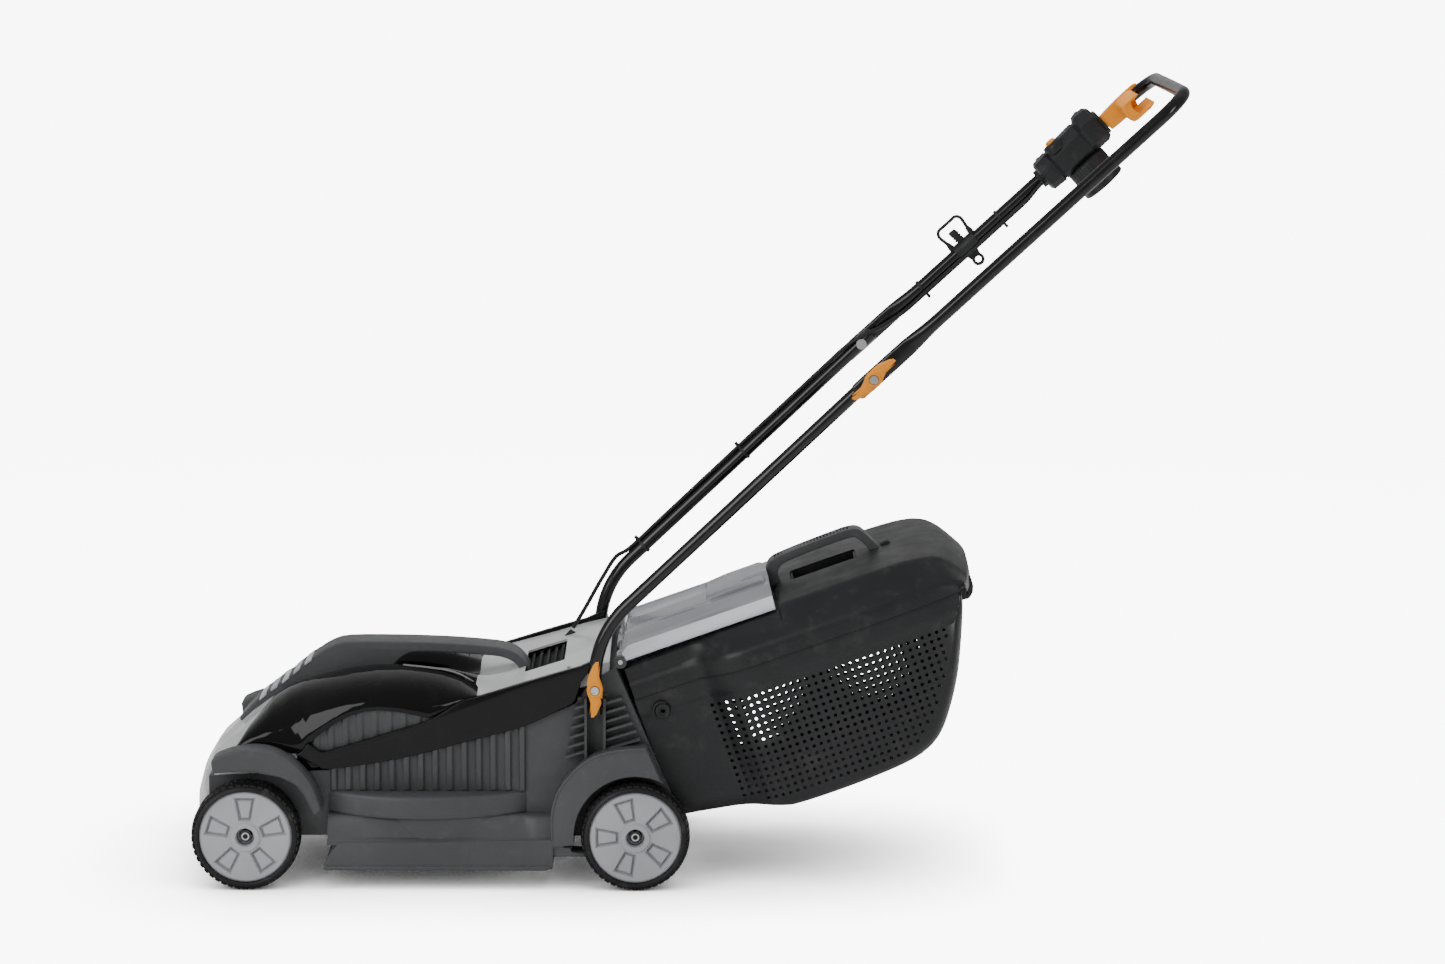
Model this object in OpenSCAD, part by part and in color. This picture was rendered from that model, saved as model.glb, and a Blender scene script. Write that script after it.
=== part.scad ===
// Push lawn mower with an electric motor, a folding handle and a grass catcher.
// Millimetres. +X points to the operator, +Z up, and the mid-plane is Y = 0.
// The origin is on the floor, under the middle of the overall length.

/* [Overall layout] */
// X of the front axle, measured from the middle of the overall length
front_axle_x = -557.7; // [-580:0.1:-540]
// Distance between the front and the rear axle
wheelbase = 498; // [494:1:502]
// Height of the axles above the floor, at the lowest cutting height
axle_z = 70; // [70:1:71]
// Travel of each axle for the cutting height
height_travel = 30; // [20:1:32]

/* [Wheels] */
// Radius of a wheel over its tread
wheel_r = 70; // [68:0.5:70]
// Width of a wheel
wheel_w = 38; // [34:1:40]
// Outer face of the wheels, from the mid-plane
wheel_face_y = 195; // [193:1:197]
// Radius of the hub cap
cap_r = 59; // [56:0.5:60]
// Diameter of the axle rods
axle_d = 10; // [9.8:0.1:10]

/* [Deck] */
// Half width of the deck body between the wheels
deck_half_w = 150; // [149:0.5:151]
// Wall thickness of the mouldings
wall = 3.5; // [3:0.1:4]
// Radius of the round blade housing, outside
housing_r = 183; // [182:0.5:184]
// Half width of the lower skirt
skirt_half_w = 186; // [185:0.5:186]
// Height of the lower edge of the skirt above the floor
skirt_z = 27; // [26:1:28]

/* [Blade and motor] */
// Length of the blade, tip to tip
blade_len = 336; // [320:1:338]
// Height of the underside of the blade
blade_z = 40; // [39:0.5:42]
// Radius of the motor can
motor_r = 58; // [54:0.5:60]
// Height of the motor can
motor_h = 96; // [90:1:98]
// Diameter of the motor shaft
shaft_d = 14; // [13:0.5:15]

/* [Handle] */
// Outside diameter of the handle tubes
tube_d = 17; // [16:0.1:17.2]
// Distance of the lower tubes from the mid-plane
lower_tube_y = 163; // [162.5:0.1:163]
// Distance of the upper tubes from the mid-plane
upper_tube_y = 177; // [177:0.1:177.5]
// Slope of the lower tubes behind their bend, in degrees
lower_slope = 43.7; // [43:0.1:44]
// Slope of the upper tubes, in degrees
upper_slope = 42.8; // [42.5:0.1:43.2]
// Distance from the fold bolt to the crossbar
upper_reach = 526; // [510:1:530]

/* [Grass catcher] */
// Upward tilt of the grass catcher, in degrees
catcher_tilt = 19.6; // [19:0.1:20]
// Half width of the catcher behind its neck
catcher_half_w = 190; // [186:1:191]
// Half width of the catcher's neck
neck_half_w = 146; // [144:1:147]

/* [Hidden] */

// Small lengths used all over
tube_wall = 1.5;
fit = 0.05;       // radial clearance of a running fit
gap = 0.4;        // air between pieces of different bodies
round_fn = 48;    // facets of plain round pieces

// Colours of the mouldings and metals
grey = "dimgray";
black = "black";
charcoal = "darkslategray";
silver_grey = "silver";
orange = "orange";
steel = "lightgray";

// Places worked out from the driving dimensions, from the front axle
rear_axle_x = wheelbase;
blade_x = 245;
wheel_y = wheel_face_y - wheel_w / 2;
tube_r = tube_d / 2;
lower_bolt = [446, 260];
lower_bend = [447, 328];
bend_r = 130;
fold = [796, 662];
bend_turn = 90 - lower_slope;
bend_tangent = bend_r * tan(bend_turn / 2);

module on_frame() {
    translate([front_axle_x, 0, 0]) children();
}

// Turns an outline drawn in X and Z into a slab from y0 to y1
module slab(y0, y1) {
    translate([0, y1, 0]) rotate([90, 0, 0]) linear_extrude(y1 - y0) children();
}

// The same slab on both sides of the mid-plane
module both_sides(y0, y1) {
    slab(y0, y1) children();
    slab(-y1, -y0) children();
}

// A block from its lowest to its highest corner
module block(low, high) {
    translate(low) cube(high - low);
}

// A rod along Y at a place in X and Z
module rod_y(place, r, y0, y1, facets = round_fn) {
    translate([place[0], y1, place[1]]) rotate([90, 0, 0]) cylinder(r = r, h = y1 - y0, $fn = facets);
}

// Frame of the upper handle: U up the tube, V above it, Y across
module on_upper() {
    on_frame() translate([fold[0], 0, fold[1]]) rotate([0, -upper_slope, 0]) children();
}

// Frame of the catcher: its X runs up the tilt from the neck's front lower edge
catcher_corner = [556, 84];
module on_catcher() {
    on_frame() translate([catcher_corner[0], 0, catcher_corner[1]]) rotate([0, -catcher_tilt, 0]) children();
}

// ---- Deck ----

fender_y = 186;
deck_plate_z = 112;
rear_plane = [[472, 284], [546, 112]];
housing_top = 119.5;

module deck_side_outline() {
    polygon([[-50, 62], [-50, 140], [107, 148], [196, 162], [273, 182], [350, 203], [420, 236],
        [438, 262], rear_plane[0], rear_plane[1], [546, 62]]);
}

// Curved guards over the wheels, with a deep outer face
module mudguards() {
    color(grey) on_frame() {
        both_sides(deck_half_w, fender_y)
            polygon([[-40, 152], [-40, 168], [-18, 177], [7, 180.5], [33, 177], [58, 164.5], [75, 148], [88, 128],
                [96, 104], [86, 100], [76, 122], [65, 137], [45, 147], [15, 153], [-10, 154]]);
        both_sides(deck_half_w, fender_y) difference() {
            polygon([[393, 62], [393, 102], [402, 130], [421, 154], [440, 170], [466, 179.5], [512, 183],
                [528, 143], [498, 100], [440, 62]]);
            translate([rear_axle_x, axle_z]) circle(r = wheel_r + 11, $fn = 96);
        }
    }
}

module axle_guides(x) {
    for (side = [-1, 1])
        translate([x - 15, side * 144.5 - 5.5, 30]) cube([30, 11, 66]);
}

module axle_slot(x) {
    slot_w = axle_d + 0.8;
    block([x - slot_w / 2, -200, axle_z - height_travel - axle_d / 2 - 0.4],
        [x + slot_w / 2, 200, axle_z + axle_d / 2 + 0.3]);
}

// Two upright walls and slanted ribs on each side hold a lower tube
module handle_sockets() {
    color(grey) on_frame() difference() {
        union() {
            both_sides(deck_half_w, 168)
                for (x = [432.5, 456.5])
                    translate([x, 168]) square([3, 78]);
            both_sides(deck_half_w, 164) {
                for (row = [0:6])
                    intersection() {
                        translate([404, 166 + row * 12]) rotate(17) square([90, 3]);
                        polygon([[404, 150], [434, 150], [434, 246], [424, 246]]);
                    }
                for (row = [0:6])
                    intersection() {
                        translate([454, 176 + row * 12]) rotate(17) square([70, 3]);
                        polygon([[458, 150], [522, 150], [478, 250], [458, 250]]);
                    }
            }
        }
        // clear of the rear mudguards
        both_sides(deck_half_w - 1, fender_y)
            polygon([[393, 150], [440, 171.2], [466, 180.7], [516, 184.2], [516, 150]]);
    }
}

module housing_outside() {
    translate([blade_x, 0, 58]) cylinder(r = housing_r, h = housing_top - 58, $fn = 120);
    slab(-skirt_half_w, skirt_half_w)
        polygon([[100, skirt_z], [104, 44], [122, 61], [392, 61], [392, skirt_z]]);
}

// The slab of space between the two side walls of the deck
module deck_width() {
    slab(-deck_half_w, deck_half_w) translate([-100, -20]) square([800, 400]);
}

module deck_hollows() {
    // blade housing
    translate([blade_x, 0, -1]) cylinder(r = housing_r - wall, h = deck_plate_z + 1, $fn = 120);
    // motor bay above the deck plate
    slab(wall - deck_half_w, deck_half_w - wall)
        polygon([[-46, 116], [388, 116], [452, 400], [-46, 400]]);
    // hollow in front of the blade housing
    block([-46, wall - deck_half_w, -1], [80, deck_half_w - wall, deck_plate_z]);
    // hollow behind it, under the chute
    block([402, wall - deck_half_w, -1], [542, deck_half_w - wall, 82]);
    // grass chute to the rear opening
    slab(-118, 118) polygon([[300, 50], [300, 110], [398, 112], [462, 272], [480, 290],
        [560, 116], [430, 86], [400, 50]]);
}

module side_skirts() {
    color(grey) on_frame() difference() {
        housing_outside();
        deck_width();
        deck_hollows();
    }
}

module deck_shell() {
    color(grey) on_frame() difference() {
        union() {
            slab(-deck_half_w, deck_half_w) deck_side_outline();
            intersection() {
                housing_outside();
                deck_width();
            }
            axle_guides(0);
            axle_guides(rear_axle_x);
            both_sides(140.5, deck_half_w) {
                translate(flap_hinge) circle(r = 8, $fn = round_fn);
                polygon([[466, 274], [474, 284], [484, 285], [474, 297]]);
            }
        }
        deck_hollows();
        // motor shaft hole and motor screw holes
        translate([blade_x, 0, 100]) cylinder(r = shaft_d / 2 + 3, h = 40);
        for (turn = [45:90:315])
            translate([blade_x, 0, 100]) rotate(turn) translate([motor_r - 8, 0, 0])
                cylinder(r = 2.5, h = 30, $fn = 32);
        axle_slot(0);
        axle_slot(rear_axle_x);
        // holes of the lower handle bolts
        rod_y(lower_bolt, 3.3, -200, 200);
        // recesses of their heads
        rod_y(lower_bolt, 7.4, 141, deck_half_w - wall);
        rod_y(lower_bolt, 7.4, wall - deck_half_w, -141);
        // holes of the flap rod
        rod_y(flap_hinge, 3.3, -200, 200);
    }
}

// ---- Hood: one smooth surface, cut into strips ----

// Each station holds X, then the heights at the middle, on the ridge and at the side
hood = [[-75, 78, 78, 78], [-74, 104, 103, 100], [-67, 132, 130, 124], [-50, 158, 155, 146],
    [-25, 182, 178, 164], [15, 214, 210, 184], [50, 238, 234, 187], [100, 248, 254, 190],
    [150, 242, 262, 200], [200, 236, 265, 212], [250, 236, 262, 226], [300, 240, 256, 244],
    [330, 250, 256, 254], [380, 266, 268, 269], [430, 283, 284, 284], [464, 294, 294, 290]];
hood_y = [0, 44, 54, 102, 146];

function hood_side(s) = [s[1], s[1], s[2], (s[2] + s[3]) / 2 + 4, s[3]];
// One side's points from the middle outwards, lifted off the surface and set back
function hood_row(s, first, last, lift, back = 0) =
    [for (k = [first:last]) [s[0] + back, hood_y[k], hood_side(s)[k] + lift]];
function reversed(row) = [for (k = [len(row) - 1:-1:0]) row[k]];
function across(row) = [for (p = row) [p[0], -p[1], p[2]]];

// Joins closed rings of equal length into one solid with flat ends
module loft(rings) {
    n = len(rings[0]);
    last = len(rings) - 1;
    polyhedron(points = [for (ring = rings) each ring],
        faces = concat([[for (k = [0:n - 1]) k]], [[for (k = [n - 1:-1:0]) last * n + k]],
            [for (r = [0:last - 1]) for (k = [0:n - 1])
                let (a = r * n + k, b = r * n + (k + 1) % n)
                each [[a, a + n, b + n], [a, b + n, b]]]), convexity = 6);
}

// A sheet between two grids of points, row by row along X, with Y rising along a row
module sheet(top, under) {
    rows = len(top);
    n = len(top[0]);
    base = rows * n;
    function quad(a, b, c, d) = [[a, b, c], [a, c, d]];
    polyhedron(points = concat([for (row = top) each row], [for (row = under) each row]),
        faces = concat(
            [for (i = [0:rows - 2]) for (k = [0:n - 2]) let (p = i * n + k)
                each concat(quad(p, p + 1, p + n + 1, p + n),
                    quad(base + p, base + p + n, base + p + n + 1, base + p + 1))],
            [for (i = [0:rows - 2]) let (p = i * n, q = i * n + n - 1)
                each concat(quad(p, p + n, base + p + n, base + p),
                    quad(q + n, q, base + q, base + q + n))],
            [for (k = [0:n - 2]) let (q = (rows - 1) * n + k)
                each concat(quad(k + 1, k, base + k, base + k + 1),
                    quad(q, q + 1, base + q + 1, base + q))]), convexity = 6);
}

module top_cover() {
    color(silver_grey) on_frame()
        sheet([for (s = hood) concat(reversed(across(hood_row(s, 1, 4, 0))), hood_row(s, 1, 4, 0))],
            [for (s = hood) let (row = hood_row(s, 1, 4, -wall, wall)) concat(reversed(across(row)), row)]);
}

// Gloss side panel: an arched wing that runs back into a diagonal band
module gloss_panel(side) {
    function on_side(row) = side > 0 ? row : reversed(across(row));
    band_y0 = side > 0 ? deck_half_w + gap : -deck_half_w - 4;
    color(black) on_frame() {
        sheet([for (i = [4:12]) on_side(hood_row(hood[i], 2, 4, 3))],
            [for (i = [4:12]) on_side(hood_row(hood[i], 2, 4, gap))]);
        slab(band_y0, band_y0 + 4 - gap)
            polygon([[99, 152], [196, 165], [273, 185], [350, 206], [404, 230], [424, 258], [433, 274],
                [452, 298], [376, 272], [299, 248], [235, 217], [196, 227], [151, 227], [106, 205],
                [60, 186], [20, 183], [70, 171]]);
    }
}

module side_panel_left() { gloss_panel(-1); }
module side_panel_right() { gloss_panel(1); }

// The spine with its grip; the hand goes through the gap under the grip
module carry_outline() {
    polygon([[-24, 188], [13, 223], [48, 249], [80, 274], [97, 284], [120, 290], [185, 290],
        [250, 288], [310, 284], [334, 279], [350, 268], [360, 250], [346, 250], [338, 263], [320, 271],
        [214, 277], [198, 274], [182, 262], [172, 248], [100, 252], [50, 242], [15, 217]]);
}

module carry_handle() {
    color(grey) on_frame() difference() {
        slab(-25, 25) carry_outline();
        // ribs are left inside the hollow spine
        for (side = [-1, 1])
            translate([88, side * 13 - 9, 244]) cube([60, 18, 36]);
        for (x = [212:26:300])
            block([x, -21, 262], [x + 22, 21, 278]);
    }
}

module front_louvre() {
    color(silver_grey) on_frame()
        for (k = [0:2])
            slab(-19, 19) polygon([[18 + k * 20, 228 + k * 14], [32 + k * 20, 238 + k * 14],
                [32 + k * 20, 240 + k * 14], [18 + k * 20, 230 + k * 14]]);
}

// ---- Motor and blade ----

motor_foot_z = 116;
bearing_h = 10;

module motor_can() {
    color(steel) on_frame() translate([blade_x, 0, motor_foot_z]) difference() {
        union() {
            cylinder(r = motor_r, h = motor_h, $fn = 96);
            cylinder(r = motor_r + 6, h = 4, $fn = 96);
        }
        translate([0, 0, 3]) cylinder(r = motor_r - 3, h = motor_h, $fn = 96);
        translate([0, 0, -1]) cylinder(r = 17, h = 8);
        for (turn = [45:90:315])
            rotate(turn) translate([motor_r - 8, 0, -1]) cylinder(r = 2.5, h = 8, $fn = 32);
    }
}

module motor_end_cap() {
    color(black) on_frame() translate([blade_x, 0, motor_foot_z + motor_h]) difference() {
        cylinder(r = motor_r, h = 14, $fn = 96);
        for (turn = [0:30:330])
            rotate(turn) translate([30, -3, 8]) cube([22, 6, 10]);
    }
}

module motor_bearing() {
    color("gray") on_frame() translate([blade_x, 0, motor_foot_z + 0.1]) difference() {
        cylinder(r = 17, h = bearing_h);
        translate([0, 0, -1]) cylinder(r = shaft_d / 2 + fit, h = bearing_h + 2);
    }
}

// Screws that hold the motor flange and the top cover
module deck_screws() {
    color(steel) on_frame() translate([blade_x, 0, deck_plate_z - 5])
        for (turn = [45:90:315])
            rotate(turn) translate([motor_r - 8, 0, 0]) {
                cylinder(r = 2.45, h = 16, $fn = 32);
                cylinder(r = 5, h = 4.9, $fn = 6);
            }
    color(steel) on_frame()
        for (side = [-1, 1])
            translate([412, side * 128, 262]) cylinder(r = 2.55, h = 18, $fn = 24);
}

module motor_shaft() {
    color(steel) on_frame() translate([blade_x, 0, blade_z + 3]) union() {
        difference() {
            cylinder(r = shaft_d / 2, h = 150);
            translate([0, 0, -1]) cylinder(r = 4, h = 25);
        }
        translate([0, 0, 92]) cylinder(r = 34, h = 52, $fn = 64);
    }
}

module blade_fan() {
    color("darkgreen") on_frame() translate([blade_x, 0, blade_z + 3.2]) difference() {
        union() {
            cylinder(r = 22, h = 30);
            cylinder(r = 62, h = 3, $fn = 72);
            for (turn = [0:45:315])
                rotate(turn) translate([20, -1.5, 0]) cube([40, 3, 18]);
        }
        translate([0, 0, -1]) cylinder(r = shaft_d / 2 - 0.01, h = 40);
    }
}

module blade() {
    half = blade_len / 2;
    color("slategray") on_frame() translate([blade_x, 0, blade_z]) difference() {
        union() {
            intersection() {
                translate([-half, -24, 0]) cube([blade_len, 48, 3]);
                cylinder(r = half, h = 10, $fn = 96);
            }
            // raised wings that lift the grass
            for (turn = [0, 180])
                rotate(turn) translate([half - 62, 21, 0]) rotate([30, 0, 0]) cube([46, 16, 3]);
        }
        translate([0, 0, -1]) cylinder(r = 4.2, h = 8);
        // ground cutting edges
        for (turn = [0, 180])
            rotate(turn) translate([half - 95, -24, 3]) rotate([-28, 0, 0]) translate([0, -10, 0])
                cube([120, 16, 4]);
    }
}

module blade_bolt() {
    color(steel) on_frame() translate([blade_x, 0, blade_z]) union() {
        translate([0, 0, -2.2]) cylinder(r = 14, h = 2);
        translate([0, 0, -8]) cylinder(r = 8, h = 6, $fn = 6);
        translate([0, 0, -3]) cylinder(r = 3.95, h = 26);
    }
}

// ---- Axles and wheels ----

axle_end_y = wheel_face_y - 6;

module axle_rod(x) {
    rod_y([x, axle_z], axle_d / 2, -axle_end_y, axle_end_y);
    // collars keep the wheels off the deck
    for (side = [-1, 1])
        rod_y([x, axle_z], 9, side * 153 - 1.5, side * 153 + 1.5);
}

module axle_nuts(x) {
    for (side = [-1, 1])
        difference() {
            rod_y([x, axle_z], 8.5, side * (axle_end_y - 4) - 2.5, side * (axle_end_y - 4) + 2.5, 6);
            rod_y([x, axle_z], axle_d / 2, -200, 200);
        }
}

// Black wheel with its moulded tread, hollow on the outside
module wheel(x, side) {
    tread_blocks = 44;
    on_frame() translate([x, side * wheel_y, axle_z]) rotate([side * -90, 0, 0]) difference() {
        union() {
            translate([0, 0, -wheel_w / 2]) cylinder(r = wheel_r - 3, h = wheel_w, $fn = 120);
            translate([0, 0, -wheel_w / 2 + 9]) cylinder(r = wheel_r, h = wheel_w - 18, $fn = 120);
            for (k = [0:tread_blocks - 1])
                rotate(k * 360 / tread_blocks) translate([wheel_r - 8, -2.6, -wheel_w / 2 + 2])
                    cube([7, 5.2, wheel_w - 4]);
        }
        // recess behind the hub cap and the hollow inner side
        translate([0, 0, 6]) cylinder(r = cap_r + 0.3, h = wheel_w, $fn = 96);
        translate([0, 0, -wheel_w]) difference() {
            cylinder(r = 56, h = wheel_w / 2 + 14, $fn = 96);
            translate([0, 0, -1]) cylinder(r = 16, h = wheel_w);
        }
        translate([0, 0, -wheel_w]) cylinder(r = axle_d / 2 + fit, h = 2 * wheel_w);
    }
}

// Light grey cap with five windows and a raised ring round the axle's end
module hub_cap(x, side) {
    on_frame() translate([x, side * wheel_y, axle_z]) rotate([side * -90, 0, 0]) difference() {
        union() {
            translate([0, 0, wheel_w / 2 - 4]) cylinder(r = cap_r, h = 3.4, $fn = 96);
            translate([0, 0, 6]) difference() {
                cylinder(r = cap_r, h = 10, $fn = 96);
                translate([0, 0, -1]) cylinder(r = cap_r - 2.5, h = 12, $fn = 96);
            }
            translate([0, 0, 8]) cylinder(r = 18.5, h = wheel_w / 2 - 7);
        }
        translate([0, 0, 5]) cylinder(r = 11.5, h = wheel_w);
        for (k = [0:4])
            rotate(k * 72) translate([0, 0, wheel_w / 2 - 2]) linear_extrude(4)
                polygon([[22, -6], [51, -9], [51, 9], [22, 6]]);
    }
}

module front_axle() { color(steel) on_frame() axle_rod(0); }
module rear_axle() { color(steel) on_frame() axle_rod(rear_axle_x); }
module front_axle_nuts() { color(steel) on_frame() axle_nuts(0); }
module rear_axle_nuts() { color(steel) on_frame() axle_nuts(rear_axle_x); }
module front_left_wheel() { color(black) wheel(0, -1); }
module front_right_wheel() { color(black) wheel(0, 1); }
module rear_left_wheel() { color(black) wheel(rear_axle_x, -1); }
module rear_right_wheel() { color(black) wheel(rear_axle_x, 1); }
module front_left_cap() { color(silver_grey) hub_cap(0, -1); }
module front_right_cap() { color(silver_grey) hub_cap(0, 1); }
module rear_left_cap() { color(silver_grey) hub_cap(rear_axle_x, -1); }
module rear_right_cap() { color(silver_grey) hub_cap(rear_axle_x, 1); }

// ---- Lower handle ----

// Tube along its own X from the origin
module tube_x(length) {
    rotate([0, 90, 0]) cylinder(r = tube_r, h = length);
}

module lower_tube(side) {
    bend_low = lower_bend[1] - bend_tangent;
    slope = [cos(lower_slope), 0, sin(lower_slope)];
    bend_steps = 8;
    top = [fold[0], 0, fold[1]] + 22 * slope;
    middle = concat(
        [for (k = [0:bend_steps]) let (turn = bend_turn * k / bend_steps)
            [lower_bolt[0] + bend_r * (1 - cos(turn)), 0, bend_low + bend_r * sin(turn)]],
        [top - 260 * slope]);
    on_frame() translate([0, side * lower_tube_y, 0]) difference() {
        swept(concat([[lower_bolt[0], 0, 232]], middle, [top]), tube_r, 24);
        swept(concat([[lower_bolt[0], 0, 240]], middle, [top - 8 * slope]), tube_r - tube_wall, 24);
        rod_y(lower_bolt, 3.3, -20, 20);
        rod_y(fold, 3.3, -20, 20);
    }
}

module lower_tube_left() { color(black) lower_tube(-1); }
module lower_tube_right() { color(black) lower_tube(1); }

// Bolts run from the inner side outwards and carry the wing nuts
module handle_bolt(place, inner, outer, side) {
    rod_y(place, 3.25, min(side * inner, side * outer), max(side * inner, side * outer));
    rod_y(place, 7, side > 0 ? inner - 4 : -inner, side > 0 ? inner : 4 - inner);
}

lower_bolt_inner = lower_tube_y - tube_r - 0.2;
upper_nut_face = upper_tube_y + 6.2;
lower_nut_face = lower_tube_y + tube_r + gap;

module lower_handle_bolts() {
    color(steel) on_frame()
        for (side = [-1, 1])
            handle_bolt(lower_bolt, deck_half_w - wall, lower_nut_face + 10, side);
}

module upper_handle_bolts() {
    color(steel) on_frame()
        for (side = [-1, 1])
            handle_bolt(fold, lower_bolt_inner, upper_nut_face + 10, side);
}

// Two pointed wings on a round boss, turned to lie along an angle
module wing_nut(place, face, side, turn) {
    on_frame() translate([place[0], side * face, place[1]]) rotate([90, 0, 0]) mirror([0, 0, side > 0 ? 1 : 0])
        rotate(turn) difference() {
            union() {
                cylinder(r = 10, h = 9);
                linear_extrude(7)
                    for (half = [0, 180])
                        rotate(half) polygon([[-2, 9], [8, 10], [20, 7], [34, 1], [33, -2], [20, -3], [8, -9]]);
            }
            translate([0, 0, -1]) cylinder(r = 3.3, h = 12);
        }
}

module lower_wing_nut_left() { color(orange) wing_nut(lower_bolt, lower_nut_face, -1, 88); }
module lower_wing_nut_right() { color(orange) wing_nut(lower_bolt, lower_nut_face, 1, 88); }
module upper_wing_nut_left() { color(orange) wing_nut(fold, upper_nut_face, -1, 49); }
module upper_wing_nut_right() { color(orange) wing_nut(fold, upper_nut_face, 1, 49); }

// ---- Upper handle ----

corner_r = 44;

// Flattened ends hang on the fold bolts; a crossbar joins the tubes at the top
module upper_handle() {
    color(black) on_upper() difference() {
        union() {
            for (side = [-1, 1]) {
                translate([-26, side * upper_tube_y - 5, -11]) cube([96, 10, 22]);
                translate([-26, side * upper_tube_y, 0]) rotate([90, 0, 0])
                    translate([0, 0, -5]) cylinder(r = 11, h = 10);
                translate([60, side * upper_tube_y, 0]) tube_x(upper_reach - 60 - corner_r);
            }
            for (side = [-1, 1])
                translate([upper_reach - corner_r, side * (upper_tube_y - corner_r), 0])
                    rotate(side > 0 ? 0 : -90) rotate_extrude(angle = 90)
                        translate([corner_r, 0]) circle(r = tube_r, $fn = round_fn);
            translate([upper_reach, upper_tube_y - corner_r, 0]) rotate([90, 0, 0])
                cylinder(r = tube_r, h = 2 * (upper_tube_y - corner_r));
        }
        // hollow of the tubes
        for (side = [-1, 1])
            translate([80, side * upper_tube_y, 0]) rotate([0, 90, 0])
                cylinder(r = tube_r - tube_wall, h = upper_reach - 80 - corner_r - 10);
        // fold bolt holes
        translate([0, 200, 0]) rotate([90, 0, 0]) cylinder(r = 3.3, h = 400);
    }
}

// Switch box, from 323 to 432 up the right tube
box_u0 = 324;
box_u1 = 432;
box_y0 = 142;
box_y1 = 195;
box_split = 6;
box_screws = [[box_u0 + 13, 190], [box_u1 - 14, 190]];
button_u = 367;
button_y = 158;
spring_r = 4;
arm_y0 = 148;
arm_y1 = 158;
arm_low = -6;
arm_high = 12;
inlet_u = 384;

module box_outline() {
    polygon([[box_u0, -8], [box_u0 + 9, -18], [box_u1 - 30, -20], [box_u1 - 6, -18], [box_u1, -6],
        [box_u1, 16], [box_u1 - 8, 26], [box_u1 - 34, 26], [box_u0 + 44, 24], [box_u0 + 20, 25], [box_u0, 18]]);
}

module box_inside() {
    polygon([[box_u0 + 3, -7], [box_u0 + 11, -15], [box_u1 - 9, -15], [box_u1 - 3, -5],
        [box_u1 - 3, 15], [box_u1 - 10, 22.5], [box_u0 + 20, 21.5], [box_u0 + 3, 16]]);
}

module box_shell() {
    difference() {
        slab(box_y0, box_y1) box_outline();
        slab(box_y0 + 3, box_y1 - 3) box_inside();
        // the tube passes through
        translate([box_u0 - 10, upper_tube_y, 0]) tube_x(140);
    }
}

module switch_box_base() {
    color(charcoal) on_upper() difference() {
        intersection() {
            box_shell();
            translate([box_u0 - 5, box_y0 - 5, -40]) cube([130, 70, 40 + box_split]);
        }
        // mains opening into the inlet
        translate([inlet_u, inlet_y, -30]) cylinder(r = 14, h = 16);
        lever_way();
        translate([box_u0 - 5, 160, -2]) rotate([0, 90, 0]) cylinder(r = 3.2, h = 20);
    }
}

module lever_way() {
    block([box_u1 - 8, arm_y0 - 0.6, arm_low - 0.6], [box_u1 + 12, arm_y1 + 0.6, arm_high + 0.6]);
}

module switch_box_cover() {
    color(charcoal) on_upper() difference() {
        intersection() {
            box_shell();
            translate([box_u0 - 5, box_y0 - 5, box_split + 0.01]) cube([130, 70, 60]);
        }
        lever_way();
        translate([button_u, button_y, 10]) cylinder(r = 7.5, h = 30);
        for (place = box_screws)
            translate([place[0], place[1], 10]) cylinder(r = 2.2, h = 30, $fn = 24);
    }
}

module switch_box_screws() {
    color(steel) on_upper()
        for (place = box_screws)
            translate([place[0], place[1], 14]) cylinder(r = 2.15, h = 12, $fn = 24);
}

module switch_unit() {
    color(black) on_upper() block([354, 146, -13.5], [384, 158, 2]);
}

// Round shroud under the box; the extension lead plugs into its open end
inlet_y = 163;
inlet_r = 29;
inlet_top = -19.5;
inlet_end = -58;

module inlet_shroud() {
    color(charcoal) on_upper() translate([inlet_u, inlet_y, 0]) difference() {
        union() {
            translate([0, 0, inlet_end]) cylinder(r = inlet_r, h = inlet_top - inlet_end - 0.6, $fn = 72);
            translate([0, 0, inlet_end]) cylinder(r = inlet_r + 1.5, h = 10, $fn = 72);
        }
        translate([0, 0, inlet_end - 1]) cylinder(r = inlet_r - 4, h = 32, $fn = 72);
        for (side = [-1, 1])
            translate([0, side * 9.5, inlet_end + 20]) cylinder(r = 2.4, h = 40, $fn = 24);
    }
}

module inlet_pins() {
    color("goldenrod") on_upper() translate([inlet_u, inlet_y, 0])
        for (side = [-1, 1])
            translate([0, side * 9.5, inlet_end + 12]) cylinder(r = 2.35, h = 24, $fn = 24);
}

// Loop that takes the slack of the mains lead, with a prong and a ring eye below
hook_u = 192;
hook_r = 2.4;

module cord_hook() {
    color(black) on_upper() translate([hook_u, upper_tube_y, 0]) difference() {
        union() {
            translate([-16, 0, 0]) rotate([0, 90, 0]) cylinder(r = tube_r + 3, h = 32);
            slab(-hook_r, hook_r) difference() {
                polygon([[-19, 8], [19, 8], [21, 36], [15, 42], [-15, 42], [-21, 36]]);
                polygon([[-14, 6], [14, 6], [16.5, 35], [13, 37.5], [-13, 37.5], [-16.5, 35]]);
            }
            slab(-4, 4) polygon([[-5, 8], [5, 8], [5, 29], [-5, 29]]);
            slab(-3, 3) polygon([[-7, -8], [7, -8], [6, -22], [-6, -22]]);
            rod_y([0, -24], 8.5, -3, 3);
        }
        translate([-30, 0, 0]) rotate([0, 90, 0]) cylinder(r = tube_r, h = 60);
        rod_y([0, -24], 4.3, -10, 10);
    }
}

// Orange lever: an arm out of the box and a ribbed trough that closes round the crossbar
lever_u = 464;
lever_y = 60;

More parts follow.
